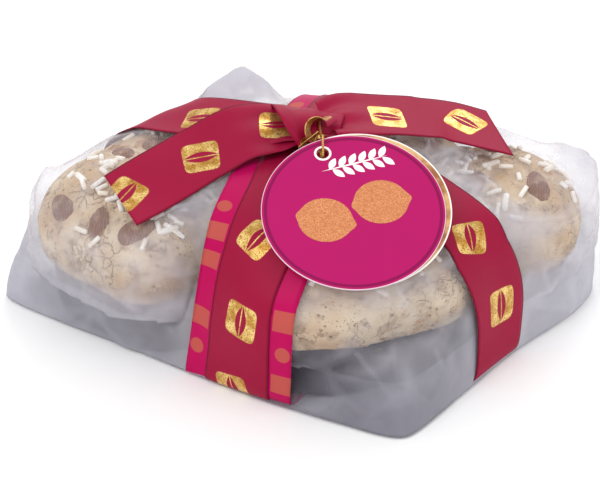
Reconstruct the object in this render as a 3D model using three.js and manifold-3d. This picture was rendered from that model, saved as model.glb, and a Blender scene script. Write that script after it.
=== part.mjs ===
// A dove-shaped Easter cake in its paper baking case, packed in a translucent film bag,
// belted with a printed paper band and tied with a wide satin ribbon that carries a swing tag.
// Millimetres, +Z up, +X from the dove's tail to its head. The parcel stands on z = 0.
import * as THREE from "three";
import { mergeVertices } from "three/addons/utils/BufferGeometryUtils.js";
import Module from "manifold-3d";

const wasm = await Module();
wasm.setup();

// ---- driving dimensions -------------------------------------------------------------

// The dove's plan at the rim of its baking case: round lobes that run into each other.
const LOBES = [
  { x: -88, y: 0, r: 42 }, // tail
  { x: -74, y: -33, r: 26 }, // its near side
  { x: -78, y: 32, r: 27 }, // its far side
  { x: -40, y: 0, r: 38 }, // waist
  { x: 8, y: 0, r: 54 }, // body
  { x: 10, y: -51, r: 48 }, // near wing
  { x: 46, y: -47, r: 38 }, // its front
  { x: 10, y: 44, r: 45 }, // far wing
  { x: 46, y: 40, r: 36 }, // its front
  { x: 98, y: 4, r: 40 }, // head
];
const LOBE_SOFTNESS = 4.8; // how gently the lobes run into each other

const RIBBON_WIDTH = 38;
const RIBBON_THICK = 0.5;
const BAND_WIDTH = 62;
const BAND_THICK = 0.35;
const FILM_THICK = 0.6; // real film is thinner; a solid shell needs some thickness
const PAPER_THICK = 0.8;
const GAP = 0.3; // left between pieces that touch
const BAND_CLEAR = 0.35; // between the band and the bag

// The stack under the cake, from the table up.
const BAND_BOTTOM = RIBBON_THICK + GAP;
const BAG_BOTTOM = BAND_BOTTOM + BAND_THICK + BAND_CLEAR;
const CASE_BOTTOM = BAG_BOTTOM + FILM_THICK + GAP;
const CAKE_BOTTOM = CASE_BOTTOM + PAPER_THICK + GAP;

const CASE_HEIGHT = 42; // rim of the baking case
const CASE_TAPER = 4; // how much wider the case is at its rim than at its base
const LIP_OVERHANG = 5.5; // the crust stands this far out over the rim
const LIP_BOTTOM = 34;
const CRUST_EDGE = 48; // height of the crust's widest line
const CRUST_TOP = 76; // height of the lobes
const CRUST_CROWN = 9; // the middle stands this much higher
const CRUST_ROUNDNESS = 0.6; // the smaller, the steeper the crust rises at its edge
const SHOULDER = 42; // how far in from its edge the crust levels out
const CROWN = { x: 8, y: 0, spread: 60 };
const WALL_GAP = 1.2; // between the crumb and the case's wall

// Under the overhanging lip, from the rim outwards: how far out, and how high.
const LIP_UNDERSIDE = [
  { out: 1.2, z: CASE_HEIGHT + GAP },
  { out: 1.6, z: LIP_BOTTOM + 1 },
  { out: 3.4, z: LIP_BOTTOM },
  { out: LIP_OVERHANG, z: LIP_BOTTOM + 6 },
  { out: LIP_OVERHANG, z: CRUST_EDGE },
];
const DOME_STEPS = [0.97, 0.92, 0.85, 0.75, 0.62, 0.45, 0.25]; // crust rings, from edge to middle
const PLAN_SEGMENTS = 60;

const FILM_CLEAR = 3; // between crust and film at the sides
const FILM_OVER = 6; // between crust and film on top, where the nuts stand up
const FILM_UNDER_LIP = 8; // the film starts to keep clear of the lip this far under it

// The bag: where its side wall meets the table, and the shoulder above that point.
const BAG_STATIONS = [
  { foot: [-154, -2], shoulder: [-132, 12, 62] }, // corner past the tail
  { foot: [-126, -27], shoulder: [-116, -30, 64] },
  { foot: [-94, -48], shoulder: [-88, -46, 70] },
  { foot: [-61, -71], shoulder: [-54, -52, 78] },
  { foot: [-20, -98], shoulder: [-16, -74, 80] },
  { foot: [18, -118], shoulder: [14, -96, 70] },
  { foot: [50, -129], shoulder: [46, -96, 68] }, // corner past the near wing
  { foot: [78, -95], shoulder: [74, -76, 72] },
  { foot: [107, -56], shoulder: [97, -52, 74] },
  { foot: [140, -20], shoulder: [138, -26, 64] },
  { foot: [152, 8], shoulder: [150, 16, 68] }, // corner past the head
  { foot: [130, 48], shoulder: [124, 36, 72] },
  { foot: [96, 80], shoulder: [82, 56, 72] },
  { foot: [50, 116], shoulder: [44, 76, 66] }, // corner past the far wing
  { foot: [2, 109], shoulder: [-2, 76, 70] },
  { foot: [-38, 90], shoulder: [-36, 70, 86] }, // the bag's mouth stands up here
  { foot: [-80, 66], shoulder: [-78, 56, 76] },
  { foot: [-122, 34], shoulder: [-110, 36, 62] },
];
const BAG_CENTRE = { x: 6, y: 0, z: 92 }; // under the knot
const BAG_SLOPE = 1.8; // the larger, the flatter the bag's top
const FOOT_TENSION = 0.35; // the smaller, the straighter the bag's foot between its corners
const SHOULDER_TENSION = 0.5;
const BAG_ROUND = 54; // points round the bag

// Rings of the bag: 0 is the middle of its base, 1 its foot, 2 its shoulder, 3 its top.
const BAG_ACROSS = [
  0, 0.5, 0.95, 1, 1.12, 1.28, 1.44, 1.6, 1.76, 1.9, 2, 2.08, 2.2, 2.35, 2.55, 2.78, 3,
];
const MOUTH = { from: 0.822, to: 0.868 }; // the bag's opening, as shares of the way round
const MOUTH_RING = 10; // it is open from this ring, at the shoulder, to the next

const KNOT = { x: 6, y: 0 }; // where the ribbon is tied, and the middle that plan and bag are built round

// The ribbon's two loops; each runs in the upright plane through these two points.
const LOOPS = {
  front: { through: [6, 0], aim: [-29, -94] }, // to the notch between tail and near wing
  side: { through: [13, 0], aim: [98, -71] }, // to the notch between near wing and head
};
const HULL_CORNERS = 20; // corners left in the outline of a loop

const KNOT_SIZE = { x: 26, y: 16, z: 10 };
const KNOT_TURN = -0.2; // radians round z
const KNOT_LIFT = 4; // the middle of the knot over the loops it ties

// Middle line of each tail from the knot to its cut end, with z counted from the top of the
// loops; how the tail leans at each point, in degrees; and how far its cut end is askew.
const TAILS = [
  {
    route: [[0, -1, 7], [-12, -2, 6], [-31, -5, 5], [-50, -13, 0], [-68, -24, -6], [-90, -39, -12]],
    lean: [-8, -12, -15, -15, -14, -12],
    cut: -8,
  },
  {
    route: [[12, 1, 7], [24, 6, 6], [41, 12, 4], [60, 18, 2], [76, 21, -1], [101, 16, -5]],
    lean: [6, 8, 6, 4, 2, 0],
    cut: 10,
  },
];
const TAIL_STEPS = 16;
const TAIL_PINCH = 0.6; // share of its width that a tail has at the knot
const TAIL_OPENS = 0.25; // share of its length over which it opens to its full width

const TAG_RADIUS = 45;
const TAG_THICK = 0.6;
const TAG_HOLE = 2.9;
const TAG_HOLE_IN = 8; // from the tag's edge to the middle of its hole
const TAG = {
  middle: [25, -66, 90.5],
  azimuth: -86, // the way the printed side looks, in degrees
  elevation: 65,
  holeAt: 110, // where the hole is, in degrees round the tag from its right-hand side
};
const BACK_CARD = { right: 3.2, up: 1.6 }; // how far the card behind is shifted

// Middle line of the tag's string: off the knot, over the cards' rim, down through their hole
// and back underneath them to the knot.
const STRING_RADIUS = 0.6;
const STRING_ROUTE = [
  [8.5, -6, 107.4],
  [8.8, -9, 106.6],
  [9.1, -12, 105.4],
  [9.4, -16, 104.4],
  [9.7, -19.6, 105.6],
  [9.9, -23, 108.1],
  [10.1, -26.2, 110.6],
  [10.2, -29.5, 111.7],
  [10.2, -32.7, 110.4],
  [10.3, -35.3, 107.6],
  [10.3, -36.4, 104.6],
  [10.1, -34.9, 102.1],
  [9.7, -31.5, 101.1],
  [9.2, -27.2, 101],
  [8.7, -23.6, 100.2],
  [8.3, -20.3, 98.9],
  [8.1, -17.7, 97.4],
];
const STRING_STEPS = 26;

// Whole almonds sunk in the glaze: x, y and heading in degrees.
const ALMOND = { length: 22, width: 13.5, height: 9, taper: 0.28, round: 0.1, sink: 2.4 };
const ALMOND_PLACES = [
  [-101, -34, 75],
  [-82, -47, 25],
  [-122, -17, 110],
  [-92, 20, 110],
  [-72, 27, 20],
  [-60, -30, 150],
  [-46, -6, 10],
  [28, -90, 15],
  [50, -78, 150],
  [8, -64, 100],
  [18, 66, 15],
  [86, -14, 70],
  [120, -8, 100],
  [104, 24, 35],
];

// Short sticks of pearl sugar lying on the glaze: x, y and heading in degrees.
const SUGAR = { length: 10, radius: 1.6, sink: -0.4 };
const SUGAR_PLACES = [
  [-98, 2, 40],
  [-112, -4, 120],
  [-80, -20, 10],
  [-66, -48, 25],
  [-106, 28, 75],
  [-55, 37, 165],
  [-66, 10, 55],
  [6, -90, 70],
  [34, -72, 140],
  [2, 66, 45],
  [96, 2, 30],
  [102, -24, 85],
  [126, 10, 60],
  [84, 24, 125],
];

const FINISHES = {
  crust: { color: 0xd9bf98, roughness: 0.85 },
  case: { color: 0x3a3444, roughness: 0.6 },
  film: { color: 0xdcdce4, roughness: 0.3 },
  band: { color: 0xc00058, roughness: 0.5 },
  ribbon: { color: 0xb01c46, roughness: 0.45 },
  tag: { color: 0xc9206f, roughness: 0.5 },
  tagBack: { color: 0xf2ead8, roughness: 0.5 },
  string: { color: 0xc9a24a, roughness: 0.4, metalness: 0.4 },
  almond: { color: 0x7a4a34, roughness: 0.7 },
  sugar: { color: 0xf6f2e8, roughness: 0.8 },
};

// ---- small helpers ------------------------------------------------------------------

const lerp = (a, b, t) => a + (b - a) * t;
const clamp01 = (t) => Math.min(1, Math.max(0, t));
const radians = (degrees) => (degrees * Math.PI) / 180;

function geometryFrom(points, faces) {
  const g = new THREE.BufferGeometry();
  g.setAttribute("position", new THREE.Float32BufferAttribute(points.flat(), 3));
  g.setIndex(faces.flat());
  return g;
}

function solidFrom(geometry) {
  const bare = new THREE.BufferGeometry();
  bare.setAttribute("position", geometry.getAttribute("position"));
  if (geometry.index) bare.setIndex(geometry.index);
  const merged = mergeVertices(bare, 1e-4);
  return new wasm.Manifold(
    new wasm.Mesh({
      numProp: 3,
      vertProperties: new Float32Array(merged.getAttribute("position").array),
      triVerts: new Uint32Array(merged.index.array),
    }),
  );
}

function geometryOf(solid) {
  const mesh = solid.getMesh();
  const n = mesh.numProp;
  const points = [];
  for (let i = 0; i < mesh.numVert; i++) {
    points.push(Array.from(mesh.vertProperties.subarray(i * n, i * n + 3)));
  }
  const g = new THREE.BufferGeometry();
  g.setAttribute("position", new THREE.Float32BufferAttribute(points.flat(), 3));
  g.setIndex(Array.from(mesh.triVerts));
  return g;
}

// The corner points of the convex hull of [x, y] pairs, counter-clockwise.
function convexHull(points) {
  const sorted = [...points].sort((a, b) => a[0] - b[0] || a[1] - b[1]);
  const turn = (o, a, b) => (a[0] - o[0]) * (b[1] - o[1]) - (a[1] - o[1]) * (b[0] - o[0]);
  const half = (list) => {
    const out = [];
    for (const p of list) {
      while (out.length > 1 && turn(out.at(-2), out.at(-1), p) <= 0) out.pop();
      out.push(p);
    }
    return out.slice(0, -1);
  };
  return [...half(sorted), ...half(sorted.reverse())];
}

// ---- the dove's plan and crust ------------------------------------------------------

// Below zero inside the case's rim; its size is about the distance to the rim.
function planDistance(x, y) {
  const distances = LOBES.map((l) => Math.hypot(x - l.x, y - l.y) - l.r);
  const sum = distances.reduce((s, d) => s + Math.exp(-d / LOBE_SOFTNESS), 0);
  return -Math.log(sum) * LOBE_SOFTNESS;
}

// How far the plan reaches from the knot's foot in a direction.
function planRadius(angle) {
  const halvings = 40;
  let low = 20;
  let high = 220;
  for (let i = 0; i < halvings; i++) {
    const mid = (low + high) / 2;
    const d = planDistance(KNOT.x + mid * Math.cos(angle), KNOT.y + mid * Math.sin(angle));
    if (d < 0) low = mid;
    else high = mid;
  }
  return low;
}

function crustTopHere(x, y) {
  const away = Math.hypot(x - CROWN.x, y - CROWN.y) / CROWN.spread;
  return CRUST_TOP + CRUST_CROWN * Math.exp(-away * away);
}

function crustHeight(x, y) {
  const inside = clamp01((LIP_OVERHANG - planDistance(x, y)) / SHOULDER);
  const rise = Math.pow(1 - (1 - inside) ** 2, CRUST_ROUNDNESS);
  return CRUST_EDGE + (crustTopHere(x, y) - CRUST_EDGE) * rise;
}

// A closed solid from rings: each profile(angle) runs from the bottom pole to the top pole.
function turnedSolid(profile, segments) {
  const columns = [];
  for (let i = 0; i < segments; i++) columns.push(profile((i / segments) * 2 * Math.PI));
  const rings = columns[0].length;
  const points = [columns[0][0], columns[0][rings - 1]];
  for (const column of columns) points.push(...column.slice(1, -1));
  const at = (i, k) => 2 + (i % segments) * (rings - 2) + (k - 1);
  const faces = [];
  for (let i = 0; i < segments; i++) {
    faces.push([0, at(i + 1, 1), at(i, 1)]);
    for (let k = 1; k < rings - 2; k++) {
      faces.push([at(i, k), at(i + 1, k), at(i + 1, k + 1)]);
      faces.push([at(i, k), at(i + 1, k + 1), at(i, k + 1)]);
    }
    faces.push([1, at(i, rings - 2), at(i + 1, rings - 2)]);
  }
  return geometryFrom(points, faces);
}

function polar(angle, radius, z) {
  return [KNOT.x + radius * Math.cos(angle), KNOT.y + radius * Math.sin(angle), z];
}

function cakeGeometry() {
  return turnedSolid((angle) => {
    const rim = planRadius(angle);
    const inner = rim - PAPER_THICK - WALL_GAP;
    const column = [
      polar(angle, 0, CAKE_BOTTOM),
      polar(angle, inner - CASE_TAPER, CAKE_BOTTOM),
      polar(angle, inner, CASE_HEIGHT + GAP),
    ];
    for (const { out, z } of LIP_UNDERSIDE) column.push(polar(angle, rim + out, z));
    for (const step of DOME_STEPS) {
      const [x, y] = polar(angle, (rim + LIP_OVERHANG) * step, 0);
      column.push([x, y, crustHeight(x, y)]);
    }
    column.push([KNOT.x, KNOT.y, crustHeight(KNOT.x, KNOT.y)]);
    return column;
  }, PLAN_SEGMENTS);
}

function caseGeometry() {
  return turnedSolid((angle) => {
    const rim = planRadius(angle);
    return [
      polar(angle, 0, CASE_BOTTOM),
      polar(angle, rim - CASE_TAPER, CASE_BOTTOM),
      polar(angle, rim, CASE_HEIGHT),
      polar(angle, rim - PAPER_THICK, CASE_HEIGHT),
      polar(angle, rim - CASE_TAPER - PAPER_THICK, CASE_BOTTOM + PAPER_THICK),
      polar(angle, 0, CASE_BOTTOM + PAPER_THICK),
    ];
  }, PLAN_SEGMENTS);
}

// ---- nuts and sugar on the crust ----------------------------------------------------

// Lies on the crust at x, y, with its own X along the heading and its Z off the crust.
function crustFrame(x, y, heading, sink) {
  const step = 2;
  const slopeX = (crustHeight(x + step, y) - crustHeight(x - step, y)) / (2 * step);
  const slopeY = (crustHeight(x, y + step) - crustHeight(x, y - step)) / (2 * step);
  const up = new THREE.Vector3(-slopeX, -slopeY, 1).normalize();
  const along = new THREE.Vector3(Math.cos(heading), Math.sin(heading), 0);
  along.addScaledVector(up, -along.dot(up)).normalize();
  const side = new THREE.Vector3().crossVectors(up, along);
  const turn = new THREE.Matrix4().makeBasis(along, side, up);
  const place = new THREE.Vector3(x, y, crustHeight(x, y)).addScaledVector(up, -sink);
  return turn.setPosition(place);
}

function almondGeometry(grow = 0) {
  const [round, lengthwise] = [10, 6];
  const g = new THREE.SphereGeometry(1, round, lengthwise);
  const p = g.getAttribute("position");
  for (let i = 0; i < p.count; i++) {
    const along = p.getY(i); // the sphere's own poles become the almond's two ends
    const taper = 1 - ALMOND.taper * along - ALMOND.round * along * along;
    p.setXYZ(
      i,
      along * (ALMOND.length / 2 + grow),
      p.getX(i) * (ALMOND.width / 2 + grow) * taper,
      p.getZ(i) * (ALMOND.height / 2 + grow) * Math.min(1, taper),
    );
  }
  g.index.array.reverse(); // swapping two axes turned the faces round
  return g;
}

function sugarGeometry(grow = 0) {
  const g = new THREE.CylinderGeometry(
    SUGAR.radius + grow,
    SUGAR.radius + grow,
    SUGAR.length + 2 * grow,
    6,
  );
  return g.rotateZ(Math.PI / 2);
}

function toppingPlaces(places, sink) {
  return places.map(([x, y, heading]) => crustFrame(x, y, radians(heading), sink));
}

// ---- the bag ------------------------------------------------------------------------

function closedCurve(points, tension) {
  return new THREE.CatmullRomCurve3(points, true, "catmullrom", tension);
}

const footCurve = closedCurve(
  BAG_STATIONS.map(({ foot: [x, y] }) => new THREE.Vector3(x, y, BAG_BOTTOM)),
  FOOT_TENSION,
);
const shoulderCurve = closedCurve(
  BAG_STATIONS.map(({ shoulder }) => new THREE.Vector3(...shoulder)),
  SHOULDER_TENSION,
);

// The least plan distance that keeps the film off case and crust at this height.
function filmLimit(z) {
  if (z < LIP_BOTTOM - FILM_UNDER_LIP) return -CASE_TAPER * (1 - z / CASE_HEIGHT) + FILM_CLEAR;
  const share = clamp01((z - FILM_OVER - CRUST_EDGE) / (CRUST_TOP - CRUST_EDGE));
  const inside = 1 - Math.sqrt(1 - Math.pow(share, 1 / CRUST_ROUNDNESS));
  return LIP_OVERHANG + FILM_CLEAR - inside * SHOULDER;
}

// A point moved straight out of the plan until the film is clear there.
function pushedOut(p) {
  const limit = filmLimit(p.z);
  const pushes = 6;
  const spare = 0.05;
  for (let i = 0; i < pushes; i++) {
    const d = planDistance(p.x, p.y);
    if (d >= limit) break;
    const gx = planDistance(p.x + 1, p.y) - planDistance(p.x - 1, p.y);
    const gy = planDistance(p.x, p.y + 1) - planDistance(p.x, p.y - 1);
    const size = Math.hypot(gx, gy) || 1;
    p.x += (gx / size) * (limit - d + spare);
    p.y += (gy / size) * (limit - d + spare);
  }
  return p;
}

// A point of the bag: round is a share of the way round, across as in BAG_ACROSS.
function bagPoint(round, across) {
  const foot = footCurve.getPoint(round % 1);
  const shoulder = shoulderCurve.getPoint(round % 1);
  if (across <= 1) {
    return new THREE.Vector3(
      lerp(KNOT.x, foot.x, across),
      lerp(KNOT.y, foot.y, across),
      BAG_BOTTOM,
    );
  }
  if (across <= 2) return pushedOut(foot.clone().lerp(shoulder, across - 1));
  const inward = across - 2;
  const edge = pushedOut(shoulder.clone());
  const ease = 1 - Math.pow(1 - inward, BAG_SLOPE);
  const p = new THREE.Vector3(
    lerp(edge.x, BAG_CENTRE.x, inward),
    lerp(edge.y, BAG_CENTRE.y, inward),
    lerp(edge.z, BAG_CENTRE.z, ease),
  );
  p.z = Math.max(p.z, crustHeight(p.x, p.y) + FILM_OVER);
  return p;
}

function bagGeometry() {
  const rings = BAG_ACROSS.length;
  const columns = [];
  for (let i = 0; i < BAG_ROUND; i++) {
    columns.push(BAG_ACROSS.map((across) => bagPoint(i / BAG_ROUND, across)));
  }
  const points = [columns[0][0], columns[0][rings - 1]];
  for (const column of columns) points.push(...column.slice(1, -1));
  const at = (i, k) => 2 + (i % BAG_ROUND) * (rings - 2) + (k - 1);
  const open = (i, k) => {
    const round = (i + 0.5) / BAG_ROUND;
    return k === MOUTH_RING && round > MOUTH.from && round < MOUTH.to;
  };
  const outside = [];
  for (let i = 0; i < BAG_ROUND; i++) {
    outside.push([0, at(i + 1, 1), at(i, 1)]);
    for (let k = 1; k < rings - 2; k++) {
      if (open(i, k)) continue;
      outside.push([at(i, k), at(i + 1, k), at(i + 1, k + 1)]);
      outside.push([at(i, k), at(i + 1, k + 1), at(i, k + 1)]);
    }
    outside.push([1, at(i, rings - 2), at(i + 1, rings - 2)]);
  }
  return shellGeometry(points, outside, FILM_THICK);
}

// A sheet given its thickness inwards, with its free edges closed.
function shellGeometry(points, faces, thick) {
  const sheet = geometryFrom(
    points.map((p) => p.toArray()),
    faces,
  );
  sheet.computeVertexNormals();
  const normals = sheet.getAttribute("normal");
  const n = points.length;
  const all = points.map((p) => p.toArray());
  points.forEach((p, i) => {
    const normal = new THREE.Vector3().fromBufferAttribute(normals, i);
    all.push(p.clone().addScaledVector(normal, -thick).toArray());
  });
  const closed = [...faces];
  for (const [a, b, c] of faces) closed.push([a + n, c + n, b + n]);
  const edges = new Set(faces.flatMap(([a, b, c]) => [`${a},${b}`, `${b},${c}`, `${c},${a}`]));
  for (const edge of edges) {
    const [a, b] = edge.split(",").map(Number);
    if (edges.has(`${b},${a}`)) continue;
    closed.push([b, a, a + n]);
    closed.push([b, a + n, b + n]);
  }
  return geometryFrom(all, closed);
}

// ---- band and ribbon ----------------------------------------------------------------

// The way a loop runs, level, out from the point it passes through.
function wayOf({ through, aim }) {
  return new THREE.Vector3(aim[0] - through[0], aim[1] - through[1], 0).normalize();
}

// Where two lines cross, each given by a point and a direction.
function crossing(p, u, q, v) {
  const turn = u[0] * v[1] - u[1] * v[0];
  const t = ((q[0] - p[0]) * v[1] - (q[1] - p[1]) * v[0]) / turn;
  return [p[0] + u[0] * t, p[1] + u[1] * t];
}

// Fewer corners: drops the edges whose neighbours, made longer, meet closest to them.
function simplerHull(hull, most) {
  const out = [...hull];
  const at = (i) => out[(i + out.length) % out.length];
  const along = (i) => [at(i + 1)[0] - at(i)[0], at(i + 1)[1] - at(i)[1]];
  while (out.length > most) {
    let best = { area: Infinity };
    for (let i = 0; i < out.length; i++) {
      const [u, v] = [along(i - 1), along(i + 1)];
      if (u[0] * v[1] - u[1] * v[0] <= 1e-6) continue;
      const meet = crossing(at(i), u, at(i + 1), v);
      const [a, b] = [at(i), at(i + 1)];
      const area = Math.abs(
        (b[0] - a[0]) * (meet[1] - a[1]) - (b[1] - a[1]) * (meet[0] - a[0]),
      );
      if (area < best.area) best = { area, i, meet };
    }
    const next = (best.i + 1) % out.length;
    out[best.i] = best.meet;
    out.splice(next, 1);
  }
  return out;
}

// A hull with every edge moved outwards.
function grownHull(hull, by) {
  const n = hull.length;
  const lines = hull.map((a, i) => {
    const b = hull[(i + 1) % n];
    const length = Math.hypot(b[0] - a[0], b[1] - a[1]);
    const u = [(b[0] - a[0]) / length, (b[1] - a[1]) / length];
    return { u, p: [a[0] + u[1] * by, a[1] - u[0] * by] };
  });
  return lines.map((line, i) => {
    const before = lines[(i + n - 1) % n];
    return crossing(before.p, before.u, line.p, line.u);
  });
}

// The hull, in a loop's plane, of the part of a solid that the loop's width covers.
function hullUnder(solid, loop, width) {
  const far = 400; // more than the parcel's size
  const square = [[-far, -far], [far, -far], [far, far], [-far, far]];
  const slab = acrossLoop(loop, shapeOf(square), width + 2 * GAP);
  const mesh = solid.intersect(slab).getMesh();
  const along = wayOf(loop);
  const found = [];
  for (let i = 0; i < mesh.numVert; i++) {
    const [x, y, z] = mesh.vertProperties.subarray(i * mesh.numProp, i * mesh.numProp + 3);
    found.push([(x - loop.through[0]) * along.x + (y - loop.through[1]) * along.y, z]);
  }
  return simplerHull(convexHull(found), HULL_CORNERS);
}

function shapeOf(outline) {
  return new THREE.Shape(outline.map(([x, z]) => new THREE.Vector2(x, z)));
}

// A shape drawn in a loop's plane, given this width across the plane.
function acrossLoop(loop, shape, width) {
  const g = new THREE.ExtrudeGeometry(shape, { depth: width, bevelEnabled: false, steps: 1 });
  const along = wayOf(loop);
  const up = new THREE.Vector3(0, 0, 1);
  const out = new THREE.Vector3().crossVectors(along, up);
  const start = new THREE.Vector3(...loop.through, 0).addScaledVector(out, -width / 2);
  g.applyMatrix4(new THREE.Matrix4().makeBasis(along, up, out).setPosition(start));
  return solidFrom(g);
}

// A strip of this width and thickness, standing off the hull by the inner distance.
function loopSolid(loop, hull, inner, thick, width) {
  const shape = shapeOf(grownHull(hull, inner + thick));
  shape.holes.push(new THREE.Path(shapeOf(grownHull(hull, inner)).getPoints()));
  return acrossLoop(loop, shape, width);
}

// Everything a loop goes round, out to the inner distance.
function insideLoop(loop, hull, inner, width) {
  return acrossLoop(loop, shapeOf(grownHull(hull, inner)), width);
}

const ribbonInner = BAND_CLEAR + BAND_THICK + GAP;
const bagSolid = solidFrom(bagGeometry());
const frontHull = hullUnder(bagSolid, LOOPS.front, BAND_WIDTH);

// The side loop also passes over the front loop's band where they cross.
const bandOuter = insideLoop(LOOPS.front, frontHull, BAND_CLEAR + BAND_THICK, BAND_WIDTH);
const sideHull = hullUnder(bagSolid.add(bandOuter), LOOPS.side, RIBBON_WIDTH);
const loopsTop = Math.max(...sideHull.map((p) => p[1]), ...frontHull.map((p) => p[1]));

// A flat strip along a curve; each station gives its middle and the direction across it.
function stripSolid(stations, width, thick) {
  const points = [];
  const faces = [];
  stations.forEach(({ middle, across, normal, share, skew }) => {
    for (const [s, t] of [[-1, -1], [1, -1], [1, 1], [-1, 1]]) {
      const p = middle.clone();
      p.addScaledVector(across, (s * width * share) / 2);
      p.addScaledVector(normal, (t * thick) / 2);
      p.addScaledVector(new THREE.Vector3().crossVectors(normal, across), s * skew);
      points.push(p.toArray());
    }
  });
  const last = (stations.length - 1) * 4;
  for (let i = 0; i < last; i += 4) {
    for (let k = 0; k < 4; k++) {
      const a = i + k;
      const b = i + ((k + 1) % 4);
      faces.push([a, b, b + 4], [a, b + 4, a + 4]);
    }
  }
  faces.push([0, 3, 2], [0, 2, 1], [last, last + 1, last + 2], [last, last + 2, last + 3]);
  const solid = solidFrom(geometryFrom(points, faces));
  if (solid.volume() > 0) return solid;
  return solidFrom(geometryFrom(points, faces.map(([a, b, c]) => [a, c, b])));
}

function tailSolid({ route, lean, cut }) {
  const curve = new THREE.CatmullRomCurve3(
    route.map(([x, y, z]) => new THREE.Vector3(x, y, loopsTop + z)),
  );
  const leaning = new THREE.CatmullRomCurve3(lean.map((l) => new THREE.Vector3(radians(l), 0, 0)));
  const up = new THREE.Vector3(0, 0, 1);
  const stations = [];
  for (let i = 0; i <= TAIL_STEPS; i++) {
    const t = i / TAIL_STEPS;
    const along = curve.getTangent(t);
    const across = new THREE.Vector3().crossVectors(up, along).normalize();
    across.applyAxisAngle(along, leaning.getPoint(t).x);
    const normal = new THREE.Vector3().crossVectors(along, across).normalize();
    const share = lerp(TAIL_PINCH, 1, clamp01(t / TAIL_OPENS));
    const skew = i === TAIL_STEPS ? cut : 0;
    stations.push({ middle: curve.getPoint(t), across, normal, share, skew });
  }
  return stripSolid(stations, RIBBON_WIDTH, RIBBON_THICK);
}

function knotSolid() {
  const [round, high] = [24, 14];
  const knot = new THREE.SphereGeometry(1, round, high);
  knot.scale(KNOT_SIZE.x, KNOT_SIZE.y, KNOT_SIZE.z).rotateZ(KNOT_TURN);
  return solidFrom(knot.translate(KNOT.x, KNOT.y, loopsTop + KNOT_LIFT));
}

function ribbonGeometry() {
  const bandAndGap = BAND_WIDTH + 2 * GAP;
  const ribbonAndGap = RIBBON_WIDTH + 2 * GAP;
  let ribbon = knotSolid();
  for (const tail of TAILS) ribbon = ribbon.add(tailSolid(tail));
  ribbon = ribbon
    .subtract(insideLoop(LOOPS.front, frontHull, ribbonInner, bandAndGap))
    .subtract(insideLoop(LOOPS.side, sideHull, GAP, ribbonAndGap))
    .add(loopSolid(LOOPS.front, frontHull, ribbonInner, RIBBON_THICK, RIBBON_WIDTH))
    .add(loopSolid(LOOPS.side, sideHull, GAP, RIBBON_THICK, RIBBON_WIDTH));
  return geometryOf(ribbon);
}

function bandGeometry() {
  return geometryOf(loopSolid(LOOPS.front, frontHull, BAND_CLEAR, BAND_THICK, BAND_WIDTH));
}

// ---- the swing tag and its string ---------------------------------------------------

function tagBasis() {
  const [a, e] = [radians(TAG.azimuth), radians(TAG.elevation)];
  const flat = Math.cos(e);
  const normal = new THREE.Vector3(Math.cos(a) * flat, Math.sin(a) * flat, Math.sin(e));
  const right = new THREE.Vector3().crossVectors(new THREE.Vector3(0, 0, 1), normal).normalize();
  const top = new THREE.Vector3().crossVectors(normal, right);
  return { right, top, normal };
}

// A round card shifted within its plane, with its back this far over the front card's back.
function tagGeometry(shift, level) {
  const shape = new THREE.Shape().absarc(shift.right, shift.up, TAG_RADIUS, 0, 2 * Math.PI, false);
  const holeRadius = TAG_RADIUS - TAG_HOLE_IN;
  const holeX = holeRadius * Math.cos(radians(TAG.holeAt));
  const holeY = holeRadius * Math.sin(radians(TAG.holeAt));
  shape.holes.push(new THREE.Path().absarc(holeX, holeY, TAG_HOLE, 0, 2 * Math.PI, true));
  const g = new THREE.ExtrudeGeometry(shape, {
    depth: TAG_THICK,
    bevelEnabled: false,
    curveSegments: 28,
  });
  const { right, top, normal } = tagBasis();
  const place = new THREE.Vector3(...TAG.middle).addScaledVector(normal, level);
  return g.applyMatrix4(new THREE.Matrix4().makeBasis(right, top, normal).setPosition(place));
}

function stringGeometry() {
  const section = new THREE.Shape().absarc(0, 0, STRING_RADIUS, 0, 2 * Math.PI, false);
  return new THREE.ExtrudeGeometry(section, {
    steps: STRING_STEPS,
    curveSegments: 4,
    bevelEnabled: false,
    extrudePath: new THREE.CatmullRomCurve3(STRING_ROUTE.map((p) => new THREE.Vector3(...p))),
  });
}

// ---- putting it together ------------------------------------------------------------

const almondPlaces = toppingPlaces(ALMOND_PLACES, ALMOND.sink);
const sugarPlaces = toppingPlaces(SUGAR_PLACES, SUGAR.sink);

function cakeWithPockets() {
  let cake = solidFrom(cakeGeometry());
  const cutters = [
    ...almondPlaces.map((m) => almondGeometry(GAP).applyMatrix4(m)),
    ...sugarPlaces.map((m) => sugarGeometry(GAP).applyMatrix4(m)),
  ];
  for (const cutter of cutters) cake = cake.subtract(solidFrom(cutter));
  return geometryOf(cake);
}

const parcel = new THREE.Group();

function addPiece(name, geometry, finish) {
  const piece = new THREE.Mesh(geometry, new THREE.MeshStandardMaterial(finish));
  piece.name = name;
  parcel.add(piece);
}

addPiece("cake", cakeWithPockets(), FINISHES.crust);
addPiece("baking_case", caseGeometry(), FINISHES.case);
addPiece("bag", bagGeometry(), FINISHES.film);
addPiece("label_band", bandGeometry(), FINISHES.band);
addPiece("ribbon", ribbonGeometry(), FINISHES.ribbon);
addPiece("tag_front", tagGeometry({ right: 0, up: 0 }, 0), FINISHES.tag);
addPiece("tag_back", tagGeometry(BACK_CARD, -TAG_THICK - GAP), FINISHES.tagBack);
addPiece("tag_string", stringGeometry(), FINISHES.string);
almondPlaces.forEach((place, i) => {
  const name = "almond_" + String(i + 1).padStart(2, "0");
  addPiece(name, almondGeometry().applyMatrix4(place), FINISHES.almond);
});
sugarPlaces.forEach((place, i) => {
  const name = "sugar_stick_" + String(i + 1).padStart(2, "0");
  addPiece(name, sugarGeometry().applyMatrix4(place), FINISHES.sugar);
});

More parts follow.
